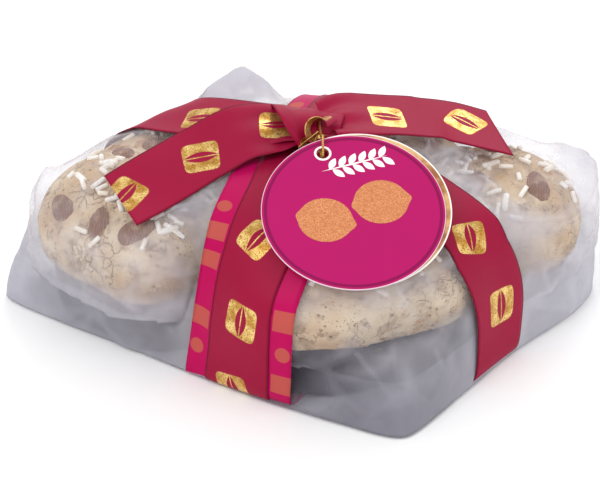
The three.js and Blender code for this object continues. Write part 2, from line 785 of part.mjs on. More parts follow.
// The origin is at the middle of the parcel's box, on the table.
const box = new THREE.Box3().setFromObject(parcel);
parcel.position.set(-(box.min.x + box.max.x) / 2, -(box.min.y + box.max.y) / 2, -box.min.z);
const root = new THREE.Group();
root.add(parcel);

export default root;
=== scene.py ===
"""A dove-shaped Easter cake in its paper case, in a frosted film bag with a paper band,
a wide satin ribbon and a swing tag. Metres, +Z up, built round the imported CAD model."""
import math
import random

import bmesh
import bpy
import numpy as np
from mathutils import Matrix, Vector, noise


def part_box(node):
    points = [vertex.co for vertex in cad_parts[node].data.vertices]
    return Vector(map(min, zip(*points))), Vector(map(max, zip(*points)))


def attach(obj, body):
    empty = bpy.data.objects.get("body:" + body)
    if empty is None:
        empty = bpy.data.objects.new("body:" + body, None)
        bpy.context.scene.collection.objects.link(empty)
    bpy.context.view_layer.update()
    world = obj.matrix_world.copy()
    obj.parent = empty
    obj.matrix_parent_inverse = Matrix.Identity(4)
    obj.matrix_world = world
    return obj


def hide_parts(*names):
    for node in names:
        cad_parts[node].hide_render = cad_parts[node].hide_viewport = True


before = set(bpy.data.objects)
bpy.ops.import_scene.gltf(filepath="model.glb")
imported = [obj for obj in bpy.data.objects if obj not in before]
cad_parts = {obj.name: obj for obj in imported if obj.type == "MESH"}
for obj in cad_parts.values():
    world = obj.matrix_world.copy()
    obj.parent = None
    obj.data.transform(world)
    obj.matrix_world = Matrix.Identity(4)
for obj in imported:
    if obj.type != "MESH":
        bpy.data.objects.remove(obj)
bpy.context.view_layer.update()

MM = 0.001
SEED = 41

# ---- the parcel's measures, as in the CAD, in millimetres before it was centred -----------

LOBES = [
    (-88, 0, 42), (-74, -33, 26), (-78, 32, 27), (-40, 0, 38), (8, 0, 54),
    (10, -51, 48), (46, -47, 38), (10, 44, 45), (46, 40, 36), (98, 4, 40),
]
LOBE_SOFTNESS = 4.8
KNOT = np.array([6.0, 0.0])
PLAN_SEGMENTS = 60
LIP_OVERHANG = 5.5
LIP_BOTTOM = 34
CRUST_EDGE = 48
CRUST_TOP = 76
CRUST_CROWN = 9
CRUST_ROUNDNESS = 0.6
SHOULDER = 42
CROWN = (8, 0, 60)
CASE_TAPER = 4
CASE_HEIGHT = 42
PAPER_THICK = 0.8
FILM_CLEAR = 3
RIBBON_WIDTH = 38
BAND_WIDTH = 62

BAG_STATIONS = [  # where the side meets the table, and the shoulder above it
    ((-154, -2), (-132, 12, 62)), ((-126, -27), (-116, -30, 64)), ((-94, -48), (-88, -46, 70)),
    ((-61, -71), (-54, -52, 78)), ((-20, -98), (-16, -74, 80)), ((18, -118), (14, -96, 70)),
    ((50, -129), (46, -96, 68)), ((78, -95), (74, -76, 72)), ((107, -56), (97, -52, 74)),
    ((140, -20), (138, -26, 64)), ((152, 8), (150, 16, 68)), ((130, 48), (124, 36, 72)),
    ((96, 80), (82, 56, 72)), ((50, 116), (44, 76, 66)), ((2, 109), (-2, 76, 70)),
    ((-38, 90), (-36, 70, 86)), ((-80, 66), (-78, 56, 76)), ((-122, 34), (-110, 36, 62)),
]
BAG_CENTRE = (6, 0, 92)
BAG_SLOPE = 1.8
FOOT_TENSION = 0.35
SHOULDER_TENSION = 0.5
MOUTH = (0.822, 0.868)  # the bag's opening, as shares of the way round

LOOPS = {"front": ((6, 0), (-29, -94)), "side": ((13, 0), (98, -71))}  # through, aim
LOOPS_TOP = 92.7
TAILS = {
    "left": {
        "route": [(0, -1, 8), (-12, -2, 8), (-31, -5, 7), (-50, -13, 0), (-68, -24, -6), (-90, -39, -12)],
        "lean": [-8, -12, -15, -15, -14, -12],
        "cut": 3,
        "foil_at": 12,
    },
    "right": {
        "route": [(12, 1, 11), (24, 6, 11), (41, 12, 8), (60, 18, 3.5), (76, 21, -1), (101, 16, -5)],
        "lean": [6, 8, 6, 4, 2, 0],
        "cut": -10,
        "foil_at": 33,
    },
}

TAG_RADIUS = 45
TAG_THICK = 0.6
TAG_MIDDLE = (25, -66, 90.5)
TAG_AZIMUTH = -86
TAG_ELEVATION = 65
HOLE_AT = 110
HOLE_RADIUS = 2.9
HOLE_REACH = 37
BACK_CARD = (3.2, 1.6)

STRING_RADIUS = 0.6
STRING_ROUTE = [
    (8.5, -6, 107.4), (8.8, -9, 106.6), (9.1, -12, 105.4), (9.4, -16, 104.4), (9.7, -19.6, 105.6),
    (9.9, -23, 108.1), (10.1, -26.2, 110.6), (10.2, -29.5, 111.7), (10.2, -32.7, 110.4),
    (10.3, -35.3, 107.6), (10.3, -36.4, 104.6), (10.1, -34.9, 102.1), (9.7, -31.5, 101.1),
    (9.2, -27.2, 101), (8.7, -23.6, 100.2), (8.3, -20.3, 98.9), (8.1, -17.7, 97.4),
]


def plan_distance(x, y):
    """About the distance to the case's rim; below zero inside it."""
    total = sum(np.exp(-(np.hypot(x - a, y - b) - r) / LOBE_SOFTNESS) for a, b, r in LOBES)
    return -np.log(total) * LOBE_SOFTNESS


def plan_radius(angle):
    """How far the plan reaches from under the knot in a direction."""
    low = np.full_like(np.asarray(angle, float), 20)
    high = np.full_like(low, 220)
    for _ in range(40):
        mid = (low + high) / 2
        inside = plan_distance(KNOT[0] + mid * np.cos(angle), KNOT[1] + mid * np.sin(angle)) < 0
        low = np.where(inside, mid, low)
        high = np.where(inside, high, mid)
    return low


def crust_height(x, y):
    inside = np.clip((LIP_OVERHANG - plan_distance(x, y)) / SHOULDER, 0, 1)
    rise = np.power(1 - (1 - inside) ** 2, CRUST_ROUNDNESS)
    away = np.hypot(x - CROWN[0], y - CROWN[1]) / CROWN[2]
    top = CRUST_TOP + CRUST_CROWN * np.exp(-away * away)
    return CRUST_EDGE + (top - CRUST_EDGE) * rise


def frame_shift():
    """How far the CAD moved the parcel to centre it, read back from the cake's own box."""
    low, high = (np.array(corner[:2]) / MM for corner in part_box("cake"))
    angles = np.arange(PLAN_SEGMENTS) / PLAN_SEGMENTS * 2 * math.pi
    reach = plan_radius(angles) + LIP_OVERHANG
    edge = KNOT + np.stack([reach * np.cos(angles), reach * np.sin(angles)], axis=1)
    return (low + high) / 2 - (edge.min(axis=0) + edge.max(axis=0)) / 2


SHIFT = frame_shift()


def placed(points):
    """Millimetres before centring to metres in the row frame."""
    p = np.array(points, float)
    p[..., :2] += SHIFT
    return p * MM


def unplaced(points):
    p = np.array(points, float) / MM
    p[..., :2] -= SHIFT
    return p


# ---- mesh helpers ----------------------------------------------------------------------


def finish_piece(obj, material, nodes=(), smooth=True):
    obj.data.materials.append(material)
    if smooth and obj.type == "MESH":
        obj.data.polygons.foreach_set("use_smooth", [True] * len(obj.data.polygons))
    if nodes:
        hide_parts(*nodes)
    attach(obj, "root")
    return obj


def mesh_object(name, verts, faces, flat=None):
    mesh = bpy.data.meshes.new(name)
    mesh.from_pydata([tuple(map(float, v)) for v in verts], [], faces)
    mesh.validate()
    if flat is not None:
        layer = mesh.uv_layers.new(name="flat")
        for loop in mesh.loops:
            layer.data[loop.index].uv = flat[loop.vertex_index]
    obj = bpy.data.objects.new(name, mesh)
    bpy.context.collection.objects.link(obj)
    return obj


def grid_faces(rows, columns, close_rows=False, close_columns=False, skip=None):
    faces = []
    for i in range(rows if close_rows else rows - 1):
        for k in range(columns if close_columns else columns - 1):
            if skip and skip(i, k):
                continue
            a, b = i * columns, ((i + 1) % rows) * columns
            c, d = k, (k + 1) % columns
            faces.append((a + c, b + c, b + d, a + d))
    return faces


def welded(name, verts, faces, flat=None):
    """A mesh whose points that lie together are joined, with its faces turned outwards."""
    obj = mesh_object(name, verts, faces, flat)
    work = bmesh.new()
    work.from_mesh(obj.data)
    bmesh.ops.remove_doubles(work, verts=work.verts, dist=1e-6)
    bmesh.ops.recalc_face_normals(work, faces=work.faces)
    work.to_mesh(obj.data)
    work.free()
    return obj


def joined(parts):
    """The points and faces of several meshes as one list of each."""
    verts, faces = [], []
    for points, quads in parts:
        faces.extend(tuple(i + len(verts) for i in quad) for quad in quads)
        verts.extend(points)
    return verts, faces


def thicken(obj, thickness):
    modifier = obj.modifiers.new("thickness", "SOLIDIFY")
    modifier.thickness = thickness
    modifier.offset = 0
    bpy.context.view_layer.objects.active = obj
    bpy.ops.object.modifier_apply(modifier=modifier.name)


def fbm(x, y, z, scale, octaves=4):
    return noise.fractal(Vector((x, y, z)) / scale, 1.0, 2.0, octaves)


def ramp(value, low, high):
    """0 below low, 1 above high, smooth between; low may be the larger."""
    t = np.clip((np.asarray(value, float) - low) / (high - low), 0, 1)
    return t * t * (3 - 2 * t)


def open_curve(points, t):
    """A smooth curve through given points."""
    points = np.array(points, float)
    padded = np.vstack([2 * points[0] - points[1], points, 2 * points[-1] - points[-2]])
    place = np.clip(np.asarray(t), 0, 1) * (len(points) - 1)
    index = np.minimum(place.astype(int), len(points) - 2)
    w = (place - index)[:, None]
    p0, p1, p2, p3 = (padded[index + k] for k in range(4))
    return 0.5 * (2 * p1 + (p2 - p0) * w + (2 * p0 - 5 * p1 + 4 * p2 - p3) * w ** 2
                  + (3 * p1 - p0 - 3 * p2 + p3) * w ** 3)


def closed_curve(points, tension, t):
    """A closed Catmull-Rom curve through the points, at shares t of the way round."""
    points = np.array(points, float)
    n = len(points)
    place = (np.asarray(t) % 1) * n
    index = np.floor(place).astype(int)
    w = (place - index)[:, None]
    p0, p1, p2, p3 = (points[(index + k) % n] for k in (-1, 0, 1, 2))
    m1, m2 = tension * (p2 - p0), tension * (p3 - p1)
    cubic = (2 * p1 - 2 * p2 + m1 + m2) * w ** 3
    return p1 + m1 * w + (-3 * p1 + 3 * p2 - 2 * m1 - m2) * w ** 2 + cubic


# ---- material helper -------------------------------------------------------------------


class Wire:
    """A node's output in a material. Arithmetic with it adds further nodes."""

    def __init__(self, shader, socket):
        self.shader = shader
        self.socket = socket

    def math(self, operation, other=0.0, clamp=False):
        inputs = {0: self, 1: other}
        return self.shader.wire("ShaderNodeMath", inputs, operation=operation, use_clamp=clamp)

    def __rsub__(self, other):
        return self.shader.wire("ShaderNodeMath", {0: other, 1: self}, operation="SUBTRACT")

    def between(self, low, high, a=0.0, b=1.0):
        """Goes smoothly from a, where this is low, to b, where it is high."""
        inputs = {"Value": self, "From Min": low, "From Max": high, "To Min": a, "To Max": b}
        return self.shader.wire("ShaderNodeMapRange", inputs, interpolation_type="SMOOTHSTEP")

    def fading(self, low, high):
        return self.between(low, high, 1.0, 0.0)


def arithmetic(operation):
    """A method of Wire that adds one node of this operation."""
    return lambda wire, other=0.0: wire.math(operation, other)


for method, operation in (
    ("__add__", "ADD"), ("__sub__", "SUBTRACT"), ("__mul__", "MULTIPLY"), ("__truediv__", "DIVIDE"),
    ("__pow__", "POWER"), ("__abs__", "ABSOLUTE"), ("__lt__", "LESS_THAN"), ("__gt__", "GREATER_THAN"),
    ("sine", "SINE"), ("cosine", "COSINE"), ("arctan2", "ARCTAN2"), ("root", "SQRT"),
    ("floor", "FLOOR"), ("fraction", "FRACT"), ("pingpong", "PINGPONG"),
):
    setattr(Wire, method, arithmetic(operation))


class Shader:
    """A material, with one short call for each kind of node that it needs."""

    def __init__(self, name):
        self.material = bpy.data.materials.new(name)
        self.material.use_nodes = True
        self.tree = self.material.node_tree
        self.tree.nodes.clear()

    def node(self, kind, inputs=None, **settings):
        made = self.tree.nodes.new(kind)
        for key, value in settings.items():
            setattr(made, key, value)
        for key, value in (inputs or {}).items():
            if isinstance(value, Wire):
                self.tree.links.new(value.socket, made.inputs[key])
            else:
                made.inputs[key].default_value = value
        return made

    def wire(self, kind, inputs=None, output=0, **settings):
        return Wire(self, self.node(kind, inputs, **settings).outputs[output])

    def mix(self, factor, a, b):
        return self.wire("ShaderNodeMix", {0: factor, 6: a, 7: b}, 2, data_type="RGBA")

    def place(self):
        return self.wire("ShaderNodeTexCoord", output="Object")

    def parts(self, vector):
        return [Wire(self, part) for part in self.node("ShaderNodeSeparateXYZ", {0: vector}).outputs]

    def noise(self, scale, detail=4.0, rough=0.55):
        inputs = {"Vector": self.place(), "Scale": scale, "Detail": detail, "Roughness": rough}
        return self.wire("ShaderNodeTexNoise", inputs, "Fac")

    def vector_math(self, operation, *values):
        return self.wire("ShaderNodeVectorMath", dict(enumerate(values)), operation=operation)

    def bent_place(self, scale, amount):
        """The place moved about by noise, so that cells drawn on it lose their straight sides."""
        inputs = {"Vector": self.place(), "Scale": scale, "Detail": 3.0}
        wobble = self.wire("ShaderNodeTexNoise", inputs, "Color")
        centred = self.vector_math("SUBTRACT", wobble, (0.5, 0.5, 0.5))
        return self.vector_math("MULTIPLY_ADD", centred, (amount, amount, amount), self.place())

    def cells(self, scale, feature="F1", output="Distance", vector=None):
        inputs = {"Vector": vector or self.place(), "Scale": scale}
        return self.wire("ShaderNodeTexVoronoi", inputs, output, feature=feature)

    def bump(self, height, strength, distance):
        return self.wire("ShaderNodeBump", {"Height": height, "Strength": strength, "Distance": distance})

    def flat(self):
        """The piece's own flat coordinates in metres: across, along."""
        return self.parts(self.wire("ShaderNodeUVMap", uv_map="flat"))[:2]

    def length(self, a, b):
        return (a * a + b * b).root()

    def surface(self, **inputs):
        named = {key.replace("_", " "): value for key, value in inputs.items()}
        return self.wire("ShaderNodeBsdfPrincipled", named)

    def blend(self, factor, a, b):
        return self.wire("ShaderNodeMixShader", {0: factor, 1: a, 2: b})

    def output(self, surface):
        self.node("ShaderNodeOutputMaterial", {"Surface": surface})
        return self.material

    def finished(self, **inputs):
        return self.output(self.surface(**inputs))


def srgb(r, g, b):
    """A screen colour, 0 to 255, as the linear colour that shaders use."""
    out = []
    for c in (r, g, b):
        c /= 255
        out.append(c / 12.92 if c <= 0.04045 else ((c + 0.055) / 1.055) ** 2.4)
    return (*out, 1.0)


# ---- materials -------------------------------------------------------------------------


def crust_material():
    """Dry almond glaze: dull beige, fine specks, clustered pores, a few hairline cracks."""
    s = Shader("almond_glaze")
    base = s.mix(s.noise(34, 6).between(0.36, 0.66), srgb(222, 204, 176), srgb(196, 166, 130))
    greyed = s.mix(s.noise(120, 6).between(0.45, 0.68), base, srgb(178, 154, 128))
    toasted = s.mix(s.noise(52, 6, 0.6).between(0.6, 0.76), greyed, srgb(166, 112, 66))
    specks = s.cells(560).fading(0.05, 0.3) * s.noise(110, 5).between(0.42, 0.54)
    specked = s.mix(specks * 0.92, toasted, srgb(98, 78, 66))
    pores = s.cells(330).fading(0.1, 0.34) * s.noise(60, 4).between(0.47, 0.57)
    crack = s.cells(130, "DISTANCE_TO_EDGE", vector=s.bent_place(110, 0.012))
    hairline = crack.fading(0.0, 0.05) * s.noise(44, 3).between(0.49, 0.6) * 0.62
    open_part = (pores * 0.75).math("ADD", hairline, clamp=True)
    height = s.noise(300, 6, 0.65) * 0.8 - open_part
    return s.finished(
        Base_Color=s.mix(open_part, specked, srgb(126, 92, 68)), Roughness=0.85,
        Specular_IOR_Level=0.25, Subsurface_Weight=0.05, Subsurface_Radius=(0.004, 0.002, 0.001),
        Normal=s.bump(height, 0.75, 0.0012))


def case_material():
    """Dark baking paper with faint outlines of small six-petal flowers."""
    s = Shader("baking_paper")
    inputs = {"Vector": s.place(), "Scale": 88.0, "Randomness": 0.5}
    middle = s.wire("ShaderNodeTexVoronoi", inputs, "Position")
    x, y, z = s.parts(s.vector_math("SUBTRACT", s.place(), middle))
    level = s.length(x, y)
    petal = abs((z.arctan2(level) * 3.0).cosine())
    edge = petal * 0.0016 + 0.0009
    outline = abs(s.length(level, z) - edge).fading(0.00012, 0.0004)
    worn = outline * s.noise(240, 3).between(0.4, 0.62) * 0.6
    fibres = s.noise(900, 3)
    base = s.mix(fibres, srgb(40, 34, 46), srgb(60, 52, 66))
    return s.finished(Base_Color=s.mix(worn, base, srgb(166, 136, 104)), Roughness=0.6,
                      Normal=s.bump(fibres, 0.25, 0.0003))


def almond_material():
    s = Shader("almond_skin")
    inputs = {"Vector": s.place(), "Scale": 260.0, "Distortion": 9.0, "Detail": 4.0}
    lines = s.wire("ShaderNodeTexWave", inputs, "Fac")
    skin = s.mix(lines, srgb(140, 96, 70), srgb(110, 70, 48))
    dusted = s.mix(s.noise(160, 6).between(0.45, 0.75, 0.0, 0.6), skin, srgb(196, 170, 142))
    return s.finished(Base_Color=dusted, Roughness=0.62, Normal=s.bump(lines, 0.5, 0.0004))


def sugar_material():
    s = Shader("pearl_sugar")
    white = s.mix(s.noise(120).between(0.4, 0.7), srgb(252, 249, 242), srgb(240, 228, 206))
    return s.finished(
        Base_Color=white, Roughness=0.68, Subsurface_Weight=0.2,
        Subsurface_Radius=(0.002, 0.002, 0.0015), Normal=s.bump(s.noise(1400, 4), 0.4, 0.0002))


def film_material():
    """Frosted film: clear where it lies on the crust, milky where it stands away from it,
    and greyer low down in front: a painted shade for the shadow by the bag's foot."""
    s = Shader("frosted_film")
    haze = s.wire("ShaderNodeAttribute", output="Fac", attribute_name="haze")
    cloud = s.noise(26, 5).between(0.3, 0.75, -0.08, 0.1)
    crumple = s.cells(32, "DISTANCE_TO_EDGE", vector=s.bent_place(18, 0.03))
    ridge = crumple.fading(0.0, 0.2) * s.noise(22, 3).between(0.4, 0.62)
    grazing = s.wire("ShaderNodeLayerWeight", {"Blend": 0.28}, "Facing")
    cover = (haze + cloud + ridge * 0.17).math("ADD", grazing ** 2.0 * 0.4, clamp=True)
    relief = s.noise(130, 3) * 0.14 + ridge
    x, _, z = s.parts(s.place())
    # painted shade: low down the film turns grey, strongest just right of the middle, weaker at the left,
    # none at the far right
    painted_shade_low_front = z.fading(0.01, 0.055) * x.fading(0.06, 0.11) * x.between(-0.06, 0.0, 0.3, 1.0)
    painted_shade_grey = srgb(160, 158, 170)
    skin = s.surface(
        Base_Color=s.mix(painted_shade_low_front, srgb(218, 216, 226), painted_shade_grey), Roughness=0.3, Specular_IOR_Level=0.5,
        Coat_Weight=0.2, Coat_Roughness=0.16, Normal=s.bump(relief, 0.35, 0.0016))
    # the same painted shade greys the light through the film
    glow = s.mix(painted_shade_low_front, srgb(224, 222, 232), painted_shade_grey)
    through = s.wire("ShaderNodeBsdfTranslucent", {"Color": glow})
    clear = s.wire("ShaderNodeBsdfTransparent", {"Color": (0.97, 0.97, 0.98, 1.0)})
    return s.output(s.blend(cover, clear, s.blend(0.4, skin, through)))


FOIL_STEP = 0.043  # from one foil square to the next along the ribbon
FOIL_HALF = 0.0093
FOIL_ASIDE = 0.004  # squares lie by turns this far apart across the ribbon
FOIL_TURN = 0.1  # radians, on the whole
FOIL_SWING = 0.42  # radians by which single squares differ
LEAF_HALF = 0.0034  # half the width of the leaf left out of a square
LEAF_POINTED = 42.0  # how fast it narrows towards its tips


def foil_mask(s, across, along):
    """Rounded gold squares with a plain leaf left out of each."""
    turn = along / FOIL_STEP
    v = (turn.fraction() - 0.5) * FOIL_STEP
    u = across - (turn.floor().pingpong(1.0) - 0.5) * FOIL_ASIDE
    angle = (turn.floor() * 2.3).sine() * FOIL_SWING + FOIL_TURN
    c, d = angle.cosine(), angle.sine()
    x, y = u * c + v * d, v * c - u * d
    rounded = abs(x / FOIL_HALF) ** 6.0 + abs(y / FOIL_HALF) ** 6.0
    leaf = (abs(x) < LEAF_HALF - y * y * LEAF_POINTED) * (abs(x) > 0.00035)
    worn = s.noise(420, 5, 0.7).between(0.30, 0.40)
    return rounded.fading(0.9, 1.1) * (1.0 - leaf) * worn


def ribbon_material():
    s = Shader("satin_ribbon")
    across, along = s.flat()
    foil = foil_mask(s, across, along)
    warp, weft = 2 * math.pi / 0.00045, 2 * math.pi / 0.0007
    weave = (across * warp).sine() * 0.35 + (along * weft).sine() * 0.2
    selvedge = (RIBBON_WIDTH * MM / 2 - abs(across)).fading(0.0006, 0.0013)
    tone = s.mix(s.noise(36, 4), srgb(168, 8, 60), srgb(146, 5, 50))
    woven = s.mix(weave.between(-0.4, 0.4), tone, srgb(140, 6, 50))
    satin = s.surface(
        Base_Color=s.mix(selvedge, woven, srgb(122, 6, 42)), Roughness=0.5, Specular_IOR_Level=0.14,
        Sheen_Weight=0.03, Sheen_Roughness=0.4, Sheen_Tint=srgb(255, 120, 150),
        Normal=s.bump(weave, 0.22, 0.00012))
    leafed = s.mix(s.noise(150, 5).between(0.35, 0.65), srgb(244, 212, 134), srgb(192, 140, 60))
    mottled = s.mix(s.noise(1500, 3).between(0.5, 0.66), leafed, srgb(136, 92, 34))
    gold = s.surface(
        Base_Color=mottled, Metallic=0.85, Roughness=0.38, Normal=s.bump(s.noise(900, 4), 0.4, 0.0002))
    return s.output(s.blend(foil, satin, gold))


PRINT_CELL = 0.0175  # of the band's print


def band_material():
    """Coated paper printed with a grid of plain coral discs and blocks."""
    s = Shader("printed_band")
    across, along = s.flat()
    cu, cv = across / PRINT_CELL, along / PRINT_CELL
    u, v = cu.fraction() - 0.5, cv.fraction() - 0.5
    which = s.wire("ShaderNodeCombineXYZ", {0: cu.floor(), 1: cv.floor()})
    pick = s.wire("ShaderNodeTexWhiteNoise", {"Vector": which}, "Value", noise_dimensions="3D")
    disc = s.length(u, v).fading(0.22, 0.24) * (pick < 0.3)
    block = (abs(u) < 0.34) * (abs(v) < 0.3) * (pick > 0.66)
    return s.finished(
        Base_Color=s.mix(disc.math("ADD", block, clamp=True), srgb(180, 2, 82), srgb(184, 80, 74)),
        Roughness=0.45, Specular_IOR_Level=0.1, Normal=s.bump(s.noise(700, 3), 0.08, 0.0002))


def card_material():
    """The front card: magenta, a thin darker ring near its edge, and a fine paper tooth."""
    s = Shader("magenta_card")
    radius = s.length(*s.flat())
    ring = radius.between(0.0419, 0.0422) * radius.fading(0.0435, 0.0438)
    soft = s.mix(s.noise(30), srgb(178, 12, 98), srgb(170, 10, 92))
    printed = s.mix(ring, soft, srgb(132, 4, 74))
    return s.finished(
        Base_Color=s.mix(radius.between(0.0446, 0.0448), printed, srgb(226, 206, 214)),
        Roughness=0.42, Specular_IOR_Level=0.16, Normal=s.bump(s.noise(850, 4), 0.08, 0.0002))


def toasted_print_material():
    """The second card's print: a plain close pattern of baked crust inside a white rim."""
    s = Shader("crust_print")
    broad = s.noise(60, 6)
    crust = s.mix(broad.between(0.4, 0.65), srgb(226, 186, 128), srgb(150, 88, 44))
    rim = s.length(*s.flat()).between(0.0442, 0.0445)
    return s.finished(Base_Color=s.mix(rim, crust, srgb(244, 240, 234)), Roughness=0.45,
                      Normal=s.bump(broad, 0.05, 0.0002))


def glitter_material():
    s = Shader("coral_glitter")
    value = s.wire("ShaderNodeSeparateColor", {0: s.cells(2400, output="Color")})
    return s.finished(Base_Color=s.mix(value, srgb(190, 104, 58), srgb(226, 156, 104)),
                      Metallic=0.35, Roughness=0.42, Normal=s.bump(value, 0.5, 0.0003))


def plain_print_material():
    s = Shader("white_print")
    return s.finished(Base_Color=srgb(248, 244, 240), Roughness=0.45,
                      Normal=s.bump(s.noise(850, 3), 0.05, 0.0001))


def gold_cord_material():
    s = Shader("gold_cord")
    inputs = {"Vector": s.place(), "Scale": 420.0, "Distortion": 1.0}
    twist = s.wire("ShaderNodeTexWave", inputs, "Fac", bands_direction="DIAGONAL")
    return s.finished(Base_Color=s.mix(twist, srgb(222, 182, 96), srgb(168, 118, 46)), Metallic=0.6,
                      Roughness=0.36, Normal=s.bump(twist, 0.6, 0.0003))


# ---- the tag's string ------------------------------------------------------------------


def make_string():
    """A curve of one open spline through the route's own points."""
    route = placed(STRING_ROUTE)
    dense = placed(open_curve(STRING_ROUTE, np.linspace(0, 1, 161)))
    data = bpy.data.curves.new("tag_cord", "CURVE")
    data.dimensions = "3D"
    data.resolution_u = 8
    data.bevel_depth = STRING_RADIUS * MM
    data.bevel_resolution = 4
    data.use_fill_caps = True
    spline = data.splines.new("BEZIER")
    spline.bezier_points.add(len(route) - 1)
    for point, spot in zip(spline.bezier_points, route):
        point.co = spot
        point.handle_left_type = point.handle_right_type = "AUTO"
    obj = bpy.data.objects.new("tag_cord", data)
    bpy.context.collection.objects.link(obj)
    finish_piece(obj, gold_cord_material(), ["tag_string"])


# ---- cake, case, nuts and sugar --------------------------------------------------------


def turned(name, columns):
    """A closed solid from equal columns of points, the first and last of each on the axis."""
    columns = np.array(columns)
    count, rows = columns.shape[:2]
    verts = [columns[0][0], columns[0][-1]] + list(columns[:, 1:-1].reshape(-1, 3))

    def at(i, k):
        return 2 + (i % count) * (rows - 2) + k - 1

    faces = []
    for i in range(count):
        faces.append((0, at(i + 1, 1), at(i, 1)))
        for k in range(1, rows - 2):
            faces.append((at(i, k), at(i + 1, k), at(i + 1, k + 1), at(i, k + 1)))
        faces.append((1, at(i, rows - 2), at(i + 1, rows - 2)))
    return mesh_object(name, placed(verts), faces)


def crust_roughness(x, y, z):
    """Swellings, small blisters and shallow pits of the baked surface."""
    swell = 1.5 * fbm(x, y, z, 26, 3) + 0.6 * fbm(x + 90, y, z, 7, 4)
    pit = ramp(fbm(x, y + 60, z, 4, 2), 0.25, 0.6) * 0.7
    return min(0.9, swell - pit)


def from_knot(angle, reach, height):
    return [KNOT[0] + reach * math.cos(angle), KNOT[1] + reach * math.sin(angle), height]


def on_crust(angle, reach):
    x, y, _ = from_knot(angle, reach, 0)
    return [x, y, float(crust_height(x, y))]


def make_cake():
    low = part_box("cake")[0][2] / MM
    first_rough = 5  # the underside and the wall inside the case stay smooth
    angles = np.linspace(0, 2 * math.pi, 320, endpoint=False)
    dome = np.concatenate([np.linspace(0.995, 0.9, 12), np.linspace(0.885, 0.02, 62)])
    columns = []
    for angle, rim in zip(angles, plan_radius(angles)):
        inner = rim - 2  # the crumb stays clear of the paper
        outline = [(0, low), (inner - CASE_TAPER, low), (inner, CASE_HEIGHT + 0.3),
                   (rim + 1.2, CASE_HEIGHT + 0.3), (rim + 1.6, LIP_BOTTOM + 1), (rim + 3.4, LIP_BOTTOM)]
        for share in np.linspace(0, 1, 9):
            belly = LIP_OVERHANG - 1.6 * (1 - share) ** 2
            outline.append((rim + belly, LIP_BOTTOM + 1 + share * (CRUST_EDGE - LIP_BOTTOM - 1)))
        column = [from_knot(angle, *place) for place in outline]
        column += [on_crust(angle, (rim + LIP_OVERHANG) * share) for share in dome]
        column.append(on_crust(angle, 0))
        for spot in column[first_rough:-1]:
            spot[2] += crust_roughness(*spot)
        columns.append(column)
    return finish_piece(turned("cake_body", columns), crust_material(), ["cake"])


def make_case():
    """Thin paper, softly rippled round its wall."""
    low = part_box("baking_case")[0][2] / MM
    angles = np.linspace(0, 2 * math.pi, 360, endpoint=False)
    columns = []
    for angle, rim in zip(angles, plan_radius(angles)):
        ripple = 0.2 * math.sin(angle * 46) + 0.2 * math.sin(angle * 27 + 1)
        outline = [(0, low), (rim - CASE_TAPER, low)]
        for share in np.linspace(0.06, 1, 9):
            bend = ripple * math.sin(share * math.pi * 0.9)
            outline.append((rim - CASE_TAPER * (1 - share) + bend, low + share * (CASE_HEIGHT - low)))
        outline += [(rim - PAPER_THICK, CASE_HEIGHT), (rim - CASE_TAPER - PAPER_THICK, low + PAPER_THICK),
                    (0, low + PAPER_THICK)]
        columns.append([from_knot(angle, *place) for place in outline])
    return finish_piece(turned("case_paper", columns), case_material(), ["baking_case"])


def nodes_named(start):
    return sorted(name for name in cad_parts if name.startswith(start))


def corners_of(node):
    return np.array([v.co[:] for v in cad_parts[node].data.vertices])


def main_axes(verts):
    """The middle of a point cloud, its own axes from long to short, and its half sizes."""
    middle = verts.mean(axis=0)
    axes = np.linalg.svd(verts - middle)[2]
    spread = [(verts - middle) @ axis for axis in axes]
    half = [(s.max() - s.min()) / 2 for s in spread]
    centre = middle + sum(axis * (s.max() + s.min()) / 2 for axis, s in zip(axes, spread))
    return centre, axes, half, spread


ALMOND_TAPER = 0.2
SKIN_RIDGES = 13
RIDGE_HEIGHT = 0.018  # as a share of the almond's girth


def make_almonds():
    """Each almond is pointed at one end and ridged along its skin."""
    material = almond_material()
    rows, around = 26, 30
    for node in nodes_named("almond_"):
        centre, axes, half, spread = main_axes(corners_of(node))
        front = spread[0] > 0
        point = 1 if np.abs(spread[1][front]).sum() < np.abs(spread[1][~front]).sum() else -1
        grid = []
        for i in range(rows):
            t = math.pi * i / (rows - 1)
            along = math.cos(t)
            girth = math.sin(t) * (1 - ALMOND_TAPER * along)
            for k in range(around):
                a = 2 * math.pi * k / around
                wave = math.sin(a * SKIN_RIDGES + 2 * along)
                ridge = girth * (1 + RIDGE_HEIGHT * wave * math.sin(t))
                grid.append(centre + axes[0] * (along * point * half[0])
                            + axes[1] * (math.cos(a) * ridge * half[1])
                            + axes[2] * (math.sin(a) * ridge * half[2]))
        obj = welded(node + "_nut", grid, grid_faces(rows, around, close_columns=True))
        finish_piece(obj, material, [node])


# A sugar stick's outline: share of its half length, share of its radius.
STICK_OUTLINE = [
    (-1, 0.0), (-1, 0.7), (-0.93, 0.97), (-0.4, 1.0), (0.4, 1.0), (0.93, 0.97), (1, 0.7), (1, 0.0),
]
STICK_RADIUS = 1.6
LOOSE_STICKS = 520
LOOSE_HALF = 4.6  # half the length of the longest loose stick
LOOSE_RADIUS = 1.25
LOOSE_LIFT = 0.8  # a loose stick's middle lies this far over the glaze
GROUP_SPREAD = 7.5
STICKS_APART = 3.2  # the middles of two loose sticks, at least
OFF_NUTS = 8


